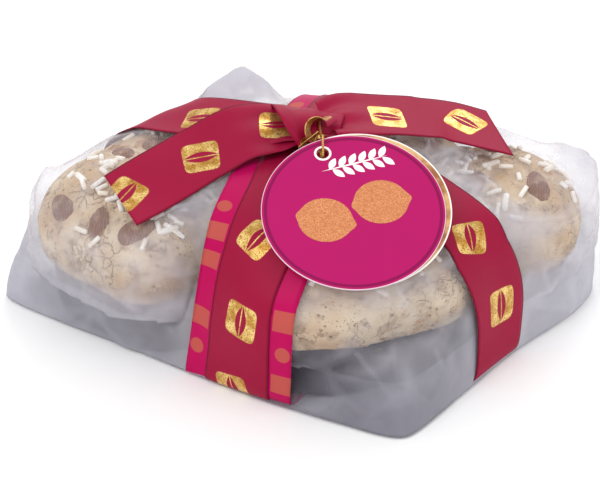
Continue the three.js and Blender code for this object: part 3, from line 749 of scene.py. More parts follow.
def stick_points(centre, axis, half, radius, seed, around=14):
    """A short pressed sugar cylinder with soft ends and a slightly uneven side."""
    axis = Vector(axis).normalized()
    side = axis.orthogonal().normalized()
    other = axis.cross(side)
    points = []
    for t, share in STICK_OUTLINE:
        for k in range(around):
            a = 2 * math.pi * k / around
            c, d = math.cos(a), math.sin(a)
            r = radius * share * (1 + 0.05 * noise.noise(Vector((t * 2 + seed, c, d))))
            points.append(Vector(centre) + axis * t * half + side * c * r + other * d * r)
    return points, grid_faces(len(STICK_OUTLINE), around, close_columns=True)


def make_sugar():
    material = sugar_material()
    for index, node in enumerate(nodes_named("sugar_stick_")):
        verts = corners_of(node)
        middle = verts.mean(axis=0)
        axis = np.linalg.svd(verts - middle)[2][0]
        along = (verts - middle) @ axis
        half = (along.max() - along.min()) / 2
        obj = welded(node + "_grain", *stick_points(middle, axis, half, STICK_RADIUS * MM, index))
        finish_piece(obj, material, [node])


def scatter_places(rng):
    """Places on the crust for loose sugar, in groups, clear of the nuts and of each other."""
    nuts = [unplaced(main_axes(corners_of(node))[0])[:2] for node in nodes_named("almond_")]
    places = []
    while len(places) < LOOSE_STICKS:
        angle = rng.uniform(0, 2 * math.pi)
        reach = math.sqrt(rng.uniform(0.02, 1)) * (float(plan_radius(angle)) - 4)
        middle = KNOT + np.array([math.cos(angle), math.sin(angle)]) * reach
        for _ in range(rng.randint(3, 12)):
            spot = middle + np.array([rng.gauss(0, GROUP_SPREAD), rng.gauss(0, GROUP_SPREAD)])
            crowded = any(math.dist(spot, other) < STICKS_APART for other in places)
            on_nut = any(math.dist(spot, nut) < OFF_NUTS for nut in nuts)
            if not crowded and not on_nut and plan_distance(*spot) < 1:
                places.append(spot)
    return places


def make_scattered_sugar():
    """The many more sugar sticks that lie all over the glaze, as one piece."""
    rng = random.Random(SEED)
    sticks = []
    step = 1.5
    for index, (x, y) in enumerate(scatter_places(rng)):
        slope_x = float(crust_height(x + step, y) - crust_height(x - step, y)) / (2 * step)
        slope_y = float(crust_height(x, y + step) - crust_height(x, y - step)) / (2 * step)
        up = Vector((-slope_x, -slope_y, 1)).normalized()
        heading = rng.uniform(0, math.pi)
        axis = Vector((math.cos(heading), math.sin(heading), 0))
        axis = (axis - up * axis.dot(up)).normalized() + up * rng.uniform(-0.12, 0.12)
        size = rng.uniform(0.45, 0.95)
        height = float(crust_height(x, y))
        spot = Vector((x, y, height + crust_roughness(x, y, height))) + up * LOOSE_LIFT
        sticks.append(stick_points(placed(spot), axis, LOOSE_HALF * size * MM, LOOSE_RADIUS * MM, index))
    return finish_piece(welded("sugar_scatter", *joined(sticks)), sugar_material())


# ---- where band and ribbon run ---------------------------------------------------------

# How far a loop bends aside, in metres, and between which places along it that grows.
DRIFTS = {"front": (0.006, 0.07, 0.11), "side": (0.014, 0.0, -0.09)}
# How far the near side of a loop bows aside, and the height at which that ends.
BOWS = {"front": (-0.002, 0.12), "side": (-0.0065, 0.065)}


def loop_axes(name):
    """A point of a loop's upright plane, and unit vectors along and across it."""
    through, aim = (np.array(point, float) for point in LOOPS[name])
    level = (aim - through) / np.linalg.norm(aim - through)
    origin = np.array([*placed([*through, 0])[:2], 0.0])
    return origin, np.array([*level, 0.0]), np.array([level[1], -level[0], 0.0])


def drift(name, along, z):
    most, start, end = DRIFTS[name]
    bow, top = BOWS[name]
    bowed = bow * np.sin(math.pi * np.clip(z / top, 0, 1)) * ramp(along, 0.02, 0.05)
    return most * ramp(along, start, end) + bowed


def loop_coordinates(name, points):
    """How far along and across a loop each point of the row frame lies."""
    origin, along, across = loop_axes(name)
    away = points - origin
    run = away @ along
    return run, away @ across - drift(name, run, points[:, 2])


LOOP_CENTRE = np.array([0.0, 0.045])  # a point inside every loop: along it, and up


def around_loop(run, z):
    """Angle from straight below and distance, seen from the loop's centre."""
    a, b = run - LOOP_CENTRE[0], z - LOOP_CENTRE[1]
    return np.mod(np.arctan2(b, a) + math.pi / 2, 2 * math.pi), np.hypot(a, b)


def beside_loops(points):
    """0 under a loop, 1 well away from both."""
    share = np.ones(len(points))
    for name, width in (("front", BAND_WIDTH), ("side", RIBBON_WIDTH)):
        side = np.abs(loop_coordinates(name, points)[1]) / MM
        share *= ramp(side, width / 2 + 1, width / 2 + 11)
    return share


# ---- the film bag ----------------------------------------------------------------------

FILM_FLOOR = 1.6
FILM_OVER = 3.4  # the film lies closer to the crust than the CAD's stiff shell does
LEAST_GAP = 2.4  # it never comes nearer than this, where the sugar sticks stand up
FILM_LOWEST = 1.1
FILM_UNDER = 0.0007  # metres from the film to the strip that holds it down
PINCH = 1.1  # how steeply the film rises again beside a loop
SMALL_CREASES = 170
CREASE_FALL = 2.6  # how far a long crease reaches to each side
CREASE_HIGHLIGHT_WIDTH = 1.3  # and its line of haze, partly a painted highlight along the fold
BAG_CORNERS = (0, 6, 10, 13)  # the stations at the bag's ground corners
PLUME = (0.832, 0.045, 2.1, 0.14, 11)  # share of the way round, spread, place across, spread, height

HAZE = 0.14  # everywhere, and what is added to it:
HAZE_BY_CASE = 0.34
HAZE_AWAY = 0.36  # where the film stands well off the crust
HAZE_AND_HIGHLIGHT_ON_CREASES = 0.16  # along the long creases: milky haze that is partly a painted highlight on each fold
HAZE_LIMITS = (0.1, 0.9)

# Where the film lies double or bunched and is milkier: share of the way round, spread, place
# across the bag, spread, and how much.
HAZY_PATCHES = [
    (0.836, 0.045, 2.1, 0.2, 0.55), (0.905, 0.03, 2.05, 0.16, 0.35), (0.46, 0.02, 1.75, 0.4, 0.34),
    (0.485, 0.03, 1.2, 0.3, 0.3), (0.333, 0.045, 1.15, 0.25, 0.25), (0.0, 0.03, 1.4, 0.5, 0.15),
    (0.41, 0.02, 1.3, 0.3, 0.2), (0.275, 0.06, 1.3, 0.45, -0.45), (0.3, 0.05, 1.9, 0.3, 0.12),
    (0.1, 0.06, 1.35, 0.45, 0.22),
]

# Creases as pairs of places on the bag, each a share of the way round and a place across it
# (1 its foot, 2 its shoulder, 3 its top), with a height in millimetres.
CREASES = [
    ((0.097, 1.84), (0.131, 1.78), 1.4), ((0.131, 1.78), (0.165, 1.68), 1.4),
    ((0.128, 1.5), (0.155, 1.25), 1.2), ((0.985, 2.0), (0.02, 2.25), 1.5),
    ((0.0, 1.05), (0.03, 1.6), 1.6), ((0.0, 1.1), (0.985, 1.9), 1.3), ((0.03, 1.6), (0.097, 1.84), 1.0),
    ((0.43, 2.1), (0.472, 1.65), 1.8), ((0.472, 1.65), (0.475, 1.38), 1.6),
    ((0.475, 1.38), (0.456, 1.33), 1.3), ((0.475, 1.38), (0.517, 1.5), 1.6),
    ((0.456, 1.33), (0.492, 1.08), 1.4), ((0.333, 1.86), (0.408, 1.6), 1.2),
    ((0.33, 2.0), (0.345, 1.78), 1.0), ((0.345, 1.78), (0.37, 1.58), 1.0),
    ((0.365, 1.43), (0.374, 1.2), 1.0), ((0.3, 1.5), (0.335, 1.15), 1.1),
    ((0.54, 1.5), (0.556, 2.05), 1.2), ((0.6, 1.9), (0.64, 1.3), 1.3), ((0.7, 1.2), (0.73, 1.9), 1.5),
    ((0.76, 1.9), (0.8, 1.4), 1.3), ((0.88, 1.9), (0.93, 1.3), 1.4), ((0.94, 2.1), (0.9, 2.4), 1.2),
    ((0.02, 2.2), (0.07, 2.45), 1.0), ((0.47, 2.1), (0.5, 2.35), 1.0), ((0.53, 2.1), (0.56, 2.4), 1.0),
]


def film_limit(z):
    """The least plan distance that keeps the film off case and crust at this height."""
    share = np.clip((z - FILM_OVER - CRUST_EDGE) / (CRUST_TOP - CRUST_EDGE), 0, 1)
    inside = 1 - np.sqrt(1 - np.power(share, 1 / CRUST_ROUNDNESS))
    low = -CASE_TAPER * (1 - z / CASE_HEIGHT) + FILM_CLEAR
    return np.where(z < LIP_BOTTOM - 8, low, LIP_OVERHANG + FILM_CLEAR - inside * SHOULDER)


def push_out(p):
    for _ in range(6):
        need = film_limit(p[:, 2]) - plan_distance(p[:, 0], p[:, 1])
        gx = plan_distance(p[:, 0] + 1, p[:, 1]) - plan_distance(p[:, 0] - 1, p[:, 1])
        gy = plan_distance(p[:, 0], p[:, 1] + 1) - plan_distance(p[:, 0], p[:, 1] - 1)
        size = np.maximum(np.hypot(gx, gy), 1e-6)
        move = np.where(need > 0, need + 0.05, 0) / size
        p[:, 0] += gx * move
        p[:, 1] += gy * move
    return p


def film_grid(rounds, acrosses):
    """Points of the bag at shares of the way round; across is 1 at its foot, 3 at its top."""
    foot = closed_curve([(*f, FILM_FLOOR) for f, _ in BAG_STATIONS], FOOT_TENSION, rounds)
    shoulder = closed_curve([s for _, s in BAG_STATIONS], SHOULDER_TENSION, rounds)
    edge = push_out(shoulder.copy())
    layers = []
    for across in acrosses:
        if across <= 1:
            base = np.array([*KNOT, FILM_FLOOR])
            layers.append(base + (foot - base) * across)
        elif across <= 2:
            layers.append(push_out(foot + (shoulder - foot) * (across - 1)))
        else:
            inward = across - 2
            ease = 1 - (1 - inward) ** BAG_SLOPE
            p = edge + (np.array(BAG_CENTRE, float) - edge) * inward
            p[:, 2] = edge[:, 2] + (BAG_CENTRE[2] - edge[:, 2]) * ease
            p[:, 2] = np.maximum(p[:, 2], crust_height(p[:, 0], p[:, 1]) + FILM_OVER)
            layers.append(p)
    return np.stack(layers, axis=1)


def grid_normals(grid):
    """Outward unit normals of a grid closed in its first direction."""
    round_way = np.roll(grid, -1, axis=0) - np.roll(grid, 1, axis=0)
    normal = np.cross(round_way, np.gradient(grid, axis=1)).reshape(-1, 3)
    return normal / np.maximum(np.linalg.norm(normal, axis=1), 1e-9)[:, None]


def random_creases(points):
    """Small creases: short straight ridges and valleys, laid in many directions."""
    rng = random.Random(SEED + 1)
    field = np.zeros(len(points))
    for _ in range(SMALL_CREASES):
        seat = points[rng.randrange(len(points))]
        heading = Vector((rng.gauss(0, 1), rng.gauss(0, 1), rng.gauss(0, 0.8))).normalized()
        length, width = rng.uniform(12, 44), rng.uniform(3, 8)
        height = rng.choice((1, 1, -1)) * rng.uniform(0.5, 1.9)
        offset = points - seat
        along = offset @ np.array(heading)
        far = np.linalg.norm(offset - np.outer(along, np.array(heading)), axis=1)
        fade = np.exp(-((along / length) ** 4)) * (np.linalg.norm(offset, axis=1) < length * 2.2)
        field += height * np.exp(-far / width) * fade
    return field


def laid_creases(points):
    """The long creases: a ridge each, falling away steeply on both sides, and a line of haze that is
    partly a painted highlight along the fold.
    """
    field, line = np.zeros(len(points)), np.zeros(len(points))
    for start, end, height in CREASES:
        a, b = (film_grid(np.array([share]), [across])[0, 0] for share, across in (start, end))
        run = b - a
        t = np.clip(((points - a) @ run) / (run @ run), -0.1, 1.1)
        far = np.linalg.norm(points - a - np.outer(t, run), axis=1)
        field += height * np.exp(-far / CREASE_FALL)
        line = np.maximum(line, np.exp(-((far / CREASE_HIGHLIGHT_WIDTH) ** 2)))
    return field, line


def round_from(rounds, middle):
    """How far round the bag, by the shorter way, as a share of the whole way."""
    return (rounds - middle + 0.5) % 1 - 0.5


def gathers(count, acrosses):
    """Folds that fan up from the bag's four ground corners."""
    share = np.linspace(0, 1, len(acrosses))[None, :]
    turns = np.arange(count)[:, None] / count
    total = np.zeros((count, len(acrosses)))
    for corner in BAG_CORNERS:
        away = round_from(turns, corner / len(BAG_STATIONS))
        near = np.exp(-((away / 0.035) ** 2)) * np.exp(-(((share - 0.3) / 0.2) ** 2))
        total += 1.6 * near * np.abs(np.sin(away * 2 * math.pi * 26 + 3 * share))
    return total.reshape(-1)


def patch(rounds, height, middle, wide, level, tall):
    """1 at one place of the bag, fading to 0 round it."""
    away = round_from(rounds, middle)
    return np.exp(-((away / wide) ** 2) - ((height - level) / tall) ** 2)


def plume(rounds, height):
    """How far the loose film beside the mouth stands up, as a low crumpled crest."""
    crest = patch(rounds, height, *PLUME[:4])
    ruffle = 1 + 0.2 * np.sin(rounds * 2 * math.pi * 22) + 0.08 * np.sin(rounds * 2 * math.pi * 41)
    return PLUME[4] * crest * ruffle


def shape_film():
    """The bag's points as they lie under band and ribbon, its points with the loose crest
    standing up, its faces, and how hazy it is at each point."""
    count = 480
    rounds = np.arange(count) / count
    acrosses = np.concatenate(
        [[0.04, 0.3, 0.6, 0.85, 0.95], np.linspace(1, 2, 52), np.linspace(2.015, 2.985, 82)]
    )
    rows = len(acrosses)
    grid = film_grid(rounds, acrosses)
    points = grid.reshape(-1, 3)
    normals = grid_normals(grid)
    height = np.tile(acrosses, count)
    free = beside_loops(placed(points))
    laid, line = laid_creases(points)
    soft = np.array([1.7 * fbm(x, y, z, 34, 3) + 0.7 * fbm(x + 60, y, z, 11, 3) for x, y, z in points])
    over_crust = points[:, 2] - crust_height(points[:, 0], points[:, 1])
    off_side = plan_distance(points[:, 0], points[:, 1]) - film_limit(points[:, 2]) + FILM_CLEAR
    gap = np.maximum(over_crust, off_side)
    rise = np.clip((height - 1.0) * 5, 0, 1)
    move = (laid + random_creases(points) + soft + gathers(count, acrosses)) * rise * free
    move = np.maximum(move, -np.maximum(gap - LEAST_GAP, 0))
    moved = points + normals * move[:, None]
    moved[:, 2] = np.maximum(moved[:, 2], FILM_LOWEST)
    moved = placed(moved)
    way_round = np.repeat(rounds, rows)
    standing = moved.copy()
    standing[:, 2] += plume(way_round, height) * free * MM
    first_open = int(np.searchsorted(acrosses, 2.0))

    def open_mouth(i, k):
        return first_open <= k <= first_open + 1 and MOUTH[0] < (i + 0.5) / count < MOUTH[1]

    faces = grid_faces(count, rows, close_rows=True, skip=open_mouth)
    faces.append(tuple(i * rows for i in range(count)))
    faces.append(tuple(reversed([i * rows + rows - 1 for i in range(count)])))
    away = np.clip(gap + move, 0, 60)
    by_case = ramp(points[:, 2], CRUST_EDGE - 1, CRUST_EDGE - 12) * (height <= 2)
    # the line of haze along the long creases is partly a painted highlight
    haze = HAZE + HAZE_BY_CASE * by_case + HAZE_AWAY * ramp(away, 4, 28) + HAZE_AND_HIGHLIGHT_ON_CREASES * line * rise
    for middle, wide, level, tall, amount in HAZY_PATCHES:
        haze += amount * patch(way_round, height, middle, wide, level, tall)
    return moved, standing, faces, np.clip(haze, *HAZE_LIMITS)


def drawn_in(points, name, grid, width):
    """Film points pressed in under a loop, and less and less beside it."""
    run, side = loop_coordinates(name, points)
    turn, reach = around_loop(run, points[:, 2])
    grid_run = loop_coordinates(name, grid.reshape(-1, 3))[0].reshape(grid.shape[:2])
    turns, reaches = around_loop(grid_run, grid[..., 2])
    columns = grid.shape[1]
    table = []
    for k in range(columns):
        order = np.argsort(turns[:, k])
        table.append(np.interp(turn, turns[order, k], reaches[order, k]))
    nearest = np.clip(np.rint((side / (width * MM) + 0.5) * (columns - 1)), 0, columns - 1).astype(int)
    beside = np.maximum(np.abs(side) - width * MM / 2, 0)
    limit = np.array(table)[nearest, np.arange(len(points))] - FILM_UNDER + beside * PINCH
    off_table = points[:, 2] > 0.003
    tight = np.where((reach > limit) & off_table, limit / reach, 1.0)
    along = loop_axes(name)[1]
    shrunk = points - np.outer((run - LOOP_CENTRE[0]) * (1 - tight), along)
    shrunk[:, 2] -= (points[:, 2] - LOOP_CENTRE[1]) * (1 - tight)
    return shrunk


def make_film(points, faces, haze, loops):
    for name, grid, width in loops:
        points = drawn_in(points, name, grid, width)
    obj = mesh_object("film_bag", points, faces)
    layer = obj.data.attributes.new("haze", "FLOAT", "POINT")
    layer.data.foreach_set("value", haze.astype(np.float32))
    finish_piece(obj, film_material(), ["bag"])


# ---- band and ribbon -------------------------------------------------------------------


def hull(points):
    """The convex hull of flat points, counter-clockwise."""
    points = sorted(map(tuple, points))

    def half(items):
        out = []
        for p in items:
            while len(out) > 1:
                (ox, oy), (ax, ay) = out[-2], out[-1]
                if (ax - ox) * (p[1] - oy) - (ay - oy) * (p[0] - ox) > 0:
                    break
                out.pop()
            out.append(p)
        return out[:-1]

    return np.array(half(points) + half(points[::-1]))


# Measures of the loops, in metres.
LOOP_STEP = 0.002
LINE_REACH = 0.0024  # points this near a line along a loop count for its outline
REAR_TOP = 0.0935  # behind the knot a loop runs down from this height
REAR_SLOPES = {"front": 0.35, "side": 0.08}
CRUST_ROOM = 0.0032  # a loop stays this far off the crust
TAKES_OVER = (0.012, 0.036)  # between these heights the strong smoothing takes over
BAND_OFF = 0.0006  # from the film's outline to the band
SIDE_OFF = 0.0008  # and to the side loop of the ribbon
CROSSING = (0.0014, 0.04)  # how much the side loop rises at the crossings, and how far from them
RIBBON_ON_BAND = 0.0007
BAND_LOWEST = 0.00095
RIBBON_LOWEST = 0.00025
BAND_THICK = 0.0003
RIBBON_THICK = 0.0004

# Smoothing passes along a loop and across it.
STRONG, LIGHT, LAST = (90, 8), (3, 8), (6, 6)


def hull_reach(outline, angles, grow):
    """How far a hull, grown by this much, reaches from the loop's centre at each angle."""
    edge = np.roll(outline, -1, axis=0) - outline
    size = np.linalg.norm(edge, axis=1)
    outline, edge = outline[size > 1e-7], edge[size > 1e-7] / size[size > 1e-7][:, None]
    outward = np.stack([edge[:, 1], -edge[:, 0]], axis=1)
    distance = ((outline - LOOP_CENTRE) * outward).sum(axis=1) + grow
    facing = outward @ np.stack([np.cos(angles), np.sin(angles)])
    reach = np.where(facing > 1e-6, distance[:, None] / np.maximum(facing, 1e-6), np.inf)
    return reach.min(axis=0)


def softened(values, along, across):
    """Smoothed this many times round a closed loop and across its width."""
    for _ in range(along):
        values = (np.roll(values, 1, 0) + 2 * values + np.roll(values, -1, 0)) / 4
    for _ in range(across):
        padded = np.pad(values, ((0, 0), (1, 1)), mode="edge")
        values = (padded[:, :-2] + 2 * values + padded[:, 2:]) / 4
    return values


def loop_outlines(name, offsets, points, held_down):
    """For each line along a loop, the hull of the points that it passes over."""
    run, side = loop_coordinates(name, points)
    z = points[:, 2]
    if held_down:
        z = np.where(run < 0, np.minimum(z, REAR_TOP + REAR_SLOPES[name] * run), z)
    near = [np.abs(side - u) < LINE_REACH for u in offsets]
    return [hull(np.stack([run[those], z[those]], axis=1)) for those in near]


def lines_across(columns, width):
    """Places of a strip's lines, from edge to edge about its middle."""
    return (np.arange(columns) / (columns - 1) - 0.5) * width


def loop_strip(name, width, columns, film, crust, off, off_middle, lowest):
    """A taut closed loop: it rounds the bag's corners off, and keeps clear of the crust."""
    origin, along, across = loop_axes(name)
    offsets = lines_across(columns, width) * MM
    outlines = loop_outlines(name, offsets, film, True)
    below = -math.pi / 2  # a loop starts and ends under the parcel
    even = np.linspace(below, below + 2 * math.pi, 1440, endpoint=False)
    reach = hull_reach(outlines[columns // 2], even, off)
    path = np.stack([np.cos(even), np.sin(even)], axis=1) * reach[:, None]
    steps = np.linalg.norm(np.roll(path, -1, axis=0) - path, axis=1)
    lengths = np.concatenate([[0], np.cumsum(steps)])
    count = int(lengths[-1] / LOOP_STEP)
    marks = np.linspace(0, lengths[-1], count, endpoint=False)
    angles = np.interp(marks, lengths, np.append(even, below + 2 * math.pi))
    cosines, sines = np.cos(angles), np.sin(angles)
    taut = np.stack([hull_reach(outline, angles, off) for outline in outlines], axis=1)
    cores = loop_outlines(name, offsets, crust, False)
    least = np.stack([hull_reach(core, angles, off + CRUST_ROOM) for core in cores], axis=1)
    upper = ramp(LOOP_CENTRE[1] + taut * sines[:, None], *TAKES_OVER)
    reaches = softened(taut, *LIGHT) * (1 - upper) + softened(taut, *STRONG) * upper
    reaches = softened(np.maximum(reaches, least), *LAST)
    grid = []
    for i in range(count):
        middle = off_middle * math.exp(-((reaches[i, columns // 2] * cosines[i] / CROSSING[1]) ** 2))
        for k, u in enumerate(offsets):
            r = reaches[i, k] + middle
            a, z = LOOP_CENTRE[0] + r * cosines[i], LOOP_CENTRE[1] + r * sines[i]
            spot = origin + along * a + across * (u + float(drift(name, a, z)))
            spot[2] = max(z, lowest)
            grid.append(spot)
    return np.array(grid).reshape(count, columns, 3), marks, lengths[-1]


def laid_on(name, grid, share, columns, lift):
    """A narrower strip lying on a loop's strip: its share of the width, and its height over it."""
    at = (lines_across(columns, share) + 0.5) * (grid.shape[1] - 1)
    low = np.minimum(np.floor(at).astype(int), grid.shape[1] - 2)
    part = (at - low)[None, :, None]
    strip = grid[:, low] * (1 - part) + grid[:, low + 1] * part
    origin, along, _ = loop_axes(name)
    run = (strip - origin) @ along
    outward = np.stack([run - LOOP_CENTRE[0], strip[..., 2] - LOOP_CENTRE[1]], axis=-1)
    outward /= np.linalg.norm(outward, axis=-1, keepdims=True)
    strip = strip + lift * (outward[..., :1] * along + outward[..., 1:] * np.array([0, 0, 1]))
    strip[..., 2] = np.maximum(strip[..., 2], RIBBON_LOWEST)
    return strip


def flat_lines(grid, marks, width, start=0.0):
    """A loop's flat coordinates: across and along, for each of its points."""
    return [(u, v + start) for v in marks for u in lines_across(grid.shape[1], width) * MM]


def make_band(grid, marks):
    faces = grid_faces(*grid.shape[:2], close_rows=True)
    obj = mesh_object("band_paper", grid.reshape(-1, 3), faces, flat_lines(grid, marks, BAND_WIDTH))
    thicken(obj, BAND_THICK)
    return finish_piece(obj, band_material(), ["label_band"])


def strip_along(points, count, columns, widths, leans, folds, foil_at, cut=0.0, lies_across=None):
    """A ribbon strip along given points in millimetres. Shares of the ribbon's width,
    leans in degrees and heights of its pleats are each spread evenly along it; foil_at is how far
    along it a foil square sits; cut is the slant of its end; lies_across is a direction that it
    keeps across its run."""
    t = np.linspace(0, 1, count)
    path = open_curve(points, t)
    share, lean, fold = (np.interp(t, np.linspace(0, 1, len(v)), v) for v in (widths, leans, folds))
    tangent = np.gradient(path, axis=0)
    lengths = np.concatenate([[0], np.cumsum(np.linalg.norm(np.diff(path, axis=0), axis=1))])
    start = FOIL_STEP / MM / 2 - foil_at
    verts, flat = [], []
    for i in range(count):
        along = Vector(tangent[i]).normalized()
        if lies_across:
            across = Vector(lies_across)
            across = (across - along * across.dot(along)).normalized()
        else:
            across = Vector((0, 0, 1)).cross(along).normalized()
        across = Matrix.Rotation(math.radians(lean[i]), 3, along) @ across
        normal = along.cross(across).normalized()
        half = share[i] * RIBBON_WIDTH / 2
        for k in range(columns):
            u = k / (columns - 1) * 2 - 1
            slant = cut * u * max(0.0, (t[i] - 0.8) / 0.2)
            pleat = fold[i] * math.sin(u * math.pi * 2.2 + 1.1)
            bend = pleat + 0.35 * math.sin(lengths[i] / 9 + u * 1.4)
            verts.append(Vector(path[i]) + across * (u * half) + normal * bend + along * slant)
            flat.append((u * half * MM, (lengths[i] + slant + start) * MM))
    return np.array(verts), grid_faces(count, columns), flat, lengths[-1] * MM


def knot_strip(points, *shape, **how):
    """A ribbon strip along points given from the top of the loops under the knot."""
    path = [(KNOT[0] + x, KNOT[1] + y, LOOPS_TOP + z) for x, y, z in points]
    return strip_along(path, *shape, **how)


def knot_pieces():
    """The tie: a broad slanting wrap over the middle, a curled fold on it and a small flap."""
    wrap = [(-3, 15, 1), (-3, 12, 9), (-3, 5, 14.5), (-2, -2, 16), (0, -9, 13.5), (2, -13.5, 8),
            (3, -16, 1), (3, -15, -2)]
    tuck = [(-24, 3, 3), (-13, 1, 6), (0, -1, 7), (13, 1, 7), (24, 3, 4)]
    curl = []
    for i in range(15):
        a = math.radians(35 + i * 19)
        r = 5.0 + 2.2 * i / 14
        curl.append((5 + r * math.cos(a), 0.53 * r * math.sin(a) - 12, 13 + 0.85 * r * math.sin(a)))
    flap = [(2, -13, 11), (-2, -16, 8.5), (-7, -18, 5)]
    return [
        knot_strip(wrap, 70, 25, (0.84, 0.95, 1, 0.98, 0.84, 0.64, 0.48, 0.42), (-14, -14),
                   (0.4, 0.4, 0.5, 0.6, 1, 1.3, 1.2), 47, lies_across=(1, 0.25, 0)),
        knot_strip(tuck, 60, 25, (0.9, 0.75, 0.7, 0.75, 0.9), (0, 0), (1.4, 1.6, 1.6, 1.4), 21),
        knot_strip(curl, 56, 15, (0.38, 0.38), (0, 0), (0, 0), 12, lies_across=(-0.5, -0.78, 0.38)),
        knot_strip(flap, 24, 13, (0.24, 0.3, 0.26), (0, 0), (0.3, 0.3), 6, lies_across=(0.3, -0.5, 0.8)),
    ]


FOIL_HEIGHTS = {"front": 0.045, "side": 0.033}  # of a foil square on each loop's near side
TAIL_WIDTHS = (0.75, 0.92, 1, 1, 1, 1, 1, 1)
TAIL_FOLDS = (1.3, 0.9, 0.3, 0, 0, 0, 0)


def make_ribbon(loops):
    strips = []
    for name, grid, marks, around in loops:
        middle = grid[:, grid.shape[1] // 2]
        near_side = loop_coordinates(name, middle)[0] > 0.03
        height = np.where(near_side, np.abs(middle[:, 2] - FOIL_HEIGHTS[name]), np.inf)
        start = FOIL_STEP / 2 - marks[int(np.argmin(height))]
        coordinates = flat_lines(grid, marks, RIBBON_WIDTH, start)
        faces = grid_faces(*grid.shape[:2], close_rows=True)
        strips.append((grid.reshape(-1, 3), faces, coordinates, around))
    tied = knot_pieces()
    for tail in TAILS.values():
        route = [(x, y, LOOPS_TOP + z) for x, y, z in tail["route"]]
        tied.append(strip_along(
            route, 90, 21, TAIL_WIDTHS, tail["lean"], TAIL_FOLDS, tail["foil_at"], tail["cut"]))
    strips += [(placed(points), faces, coordinates, run) for points, faces, coordinates, run in tied]
    flat = [place for strip in strips for place in strip[2]]
    obj = mesh_object("ribbon_satin", *joined(strip[:2] for strip in strips), flat)
    thicken(obj, RIBBON_THICK)
    finish_piece(obj, ribbon_material(), ["ribbon"])


# ---- swing tag -------------------------------------------------------------------------

HOLE = (HOLE_REACH * math.cos(math.radians(HOLE_AT)), HOLE_REACH * math.sin(math.radians(HOLE_AT)))


def tag_point(x, y, above):
    """A point of the tag: right and up from its middle, and off its back, in millimetres."""
    a, e = math.radians(TAG_AZIMUTH), math.radians(TAG_ELEVATION)
    normal = Vector((math.cos(a) * math.cos(e), math.sin(a) * math.cos(e), math.sin(e)))
    right = Vector((0, 0, 1)).cross(normal).normalized()
    return Vector(TAG_MIDDLE) + right * x + normal.cross(right) * y + normal * above


def circle(x, y, radius, count):
    turns = [2 * math.pi * k / count for k in range(count)]
    return [(x + radius * math.cos(a), y + radius * math.sin(a)) for a in turns]


def card(name, shift, level, material, node):
    """A round card with a punched hole."""
    around, rings = 120, 14
    hole, rim = circle(*HOLE, HOLE_RADIUS, around), circle(*shift, TAG_RADIUS, around)
    grid, flat = [], []
    for face in (1, 0):
        for r in range(rings + 1):
            share = r / rings if face else 1 - r / rings
            for (hx, hy), (rx, ry) in zip(hole, rim):
                x, y = hx + (rx - hx) * share, hy + (ry - hy) * share
                grid.append(tag_point(x, y, level + face * TAG_THICK))
                flat.append(((x - shift[0]) * MM, (y - shift[1]) * MM))
    faces = grid_faces(2 * (rings + 1), around, close_rows=True, close_columns=True)
    return finish_piece(welded(name, placed(grid), faces, flat), material, [node], smooth=False)


def flat_print(name, outlines, material):
    """Ink or foil lying on the tag's face, as thin plates with the given outlines."""
    plates = []
    for outline in outlines:
        n = len(outline)
        points = [tag_point(x, y, TAG_THICK + lift) for lift in (0.02, 0.09) for x, y in outline]
        sides = [(i, (i + 1) % n, n + (i + 1) % n, n + i) for i in range(n)]
        plates.append((points, [tuple(range(n, 2 * n)), tuple(reversed(range(n)))] + sides))
    verts, faces = joined(plates)
    return finish_piece(mesh_object(name, placed(verts), faces), material, smooth=False)


def turned_about(points, cx, cy, turn):
    """Flat points turned by an angle and moved to a place."""
    c, d = math.cos(turn), math.sin(turn)
    return [(cx + x * c - y * d, cy + x * d + y * c) for x, y in points]


def lemon_outline(cx, cy, turn, size=13):
    """A round fruit with a small tip at one end and a stub at the other."""
    def bump_at(angle, middle, wide):
        away = math.atan2(math.sin(angle - middle), math.cos(angle - middle))
        return math.exp(-((away / wide) ** 2))

    points = []
    for i in range(72):
        a = 2 * math.pi * i / 72
        ends = 0.15 * bump_at(a, 0, 0.2) + 0.1 * bump_at(a, math.pi, 0.18)
        r = size * (1 + 0.03 * math.cos(2 * a) + ends)
        points.append((r * math.cos(a), r * math.sin(a)))
    return turned_about(points, cx, cy, turn)


def leaf_outline(cx, cy, turn, length, width):
    side = [(t * length, width * math.sin(math.pi * t) ** 0.9) for t in np.linspace(0, 1, 12)]
    return turned_about(side + [(t, -w) for t, w in side[-2:0:-1]], cx, cy, turn)


def make_eyelet():
    around = 48
    inner = circle(*HOLE, HOLE_RADIUS + 0.25, around)
    outer = circle(*HOLE, HOLE_RADIUS + 1.4, around)
    verts = []
    for lift, line in ((0.02, inner), (0.12, inner), (0.12, outer), (0.02, outer)):
        verts.extend(tag_point(x, y, TAG_THICK + lift) for x, y in line)
    faces = grid_faces(4, around, close_rows=True, close_columns=True)
    eyelet = welded("tag_eyelet", placed(verts), faces)
    finish_piece(eyelet, plain_print_material())


def make_tags():
    card("tag_card_front", (0, 0), 0, card_material(), "tag_front")
    card("tag_card_back", BACK_CARD, -TAG_THICK - 0.3, toasted_print_material(), "tag_back")
    fruits = [lemon_outline(-14, -4.5, math.radians(-14)), lemon_outline(13.8, 5, math.radians(8))]
    flat_print("tag_fruit", fruits, glitter_material())
    sprig = [leaf_outline(-14, 24, math.radians(14), 34, 0.45)]
    for i in range(6):
        x, y = -10 + i * 5, 25 + i * 1.25
        sprig.append(leaf_outline(x, y, math.radians(64), 7.4, 1.7))
        sprig.append(leaf_outline(x + 1.5, y, math.radians(-38), 7.4, 1.7))
    flat_print("tag_sprig", sprig, plain_print_material())
    make_eyelet()


# ---- stage, light and camera -----------------------------------------------------------

LIGHTS = {  # place, size and power
    "key": ((-0.9, -0.9, 1.5), 0.9, 12),
    "fill": ((1.3, -0.7, 1.0), 1.2, 6),
    "rim": ((0.2, 1.3, 1.1), 0.9, 9),
}


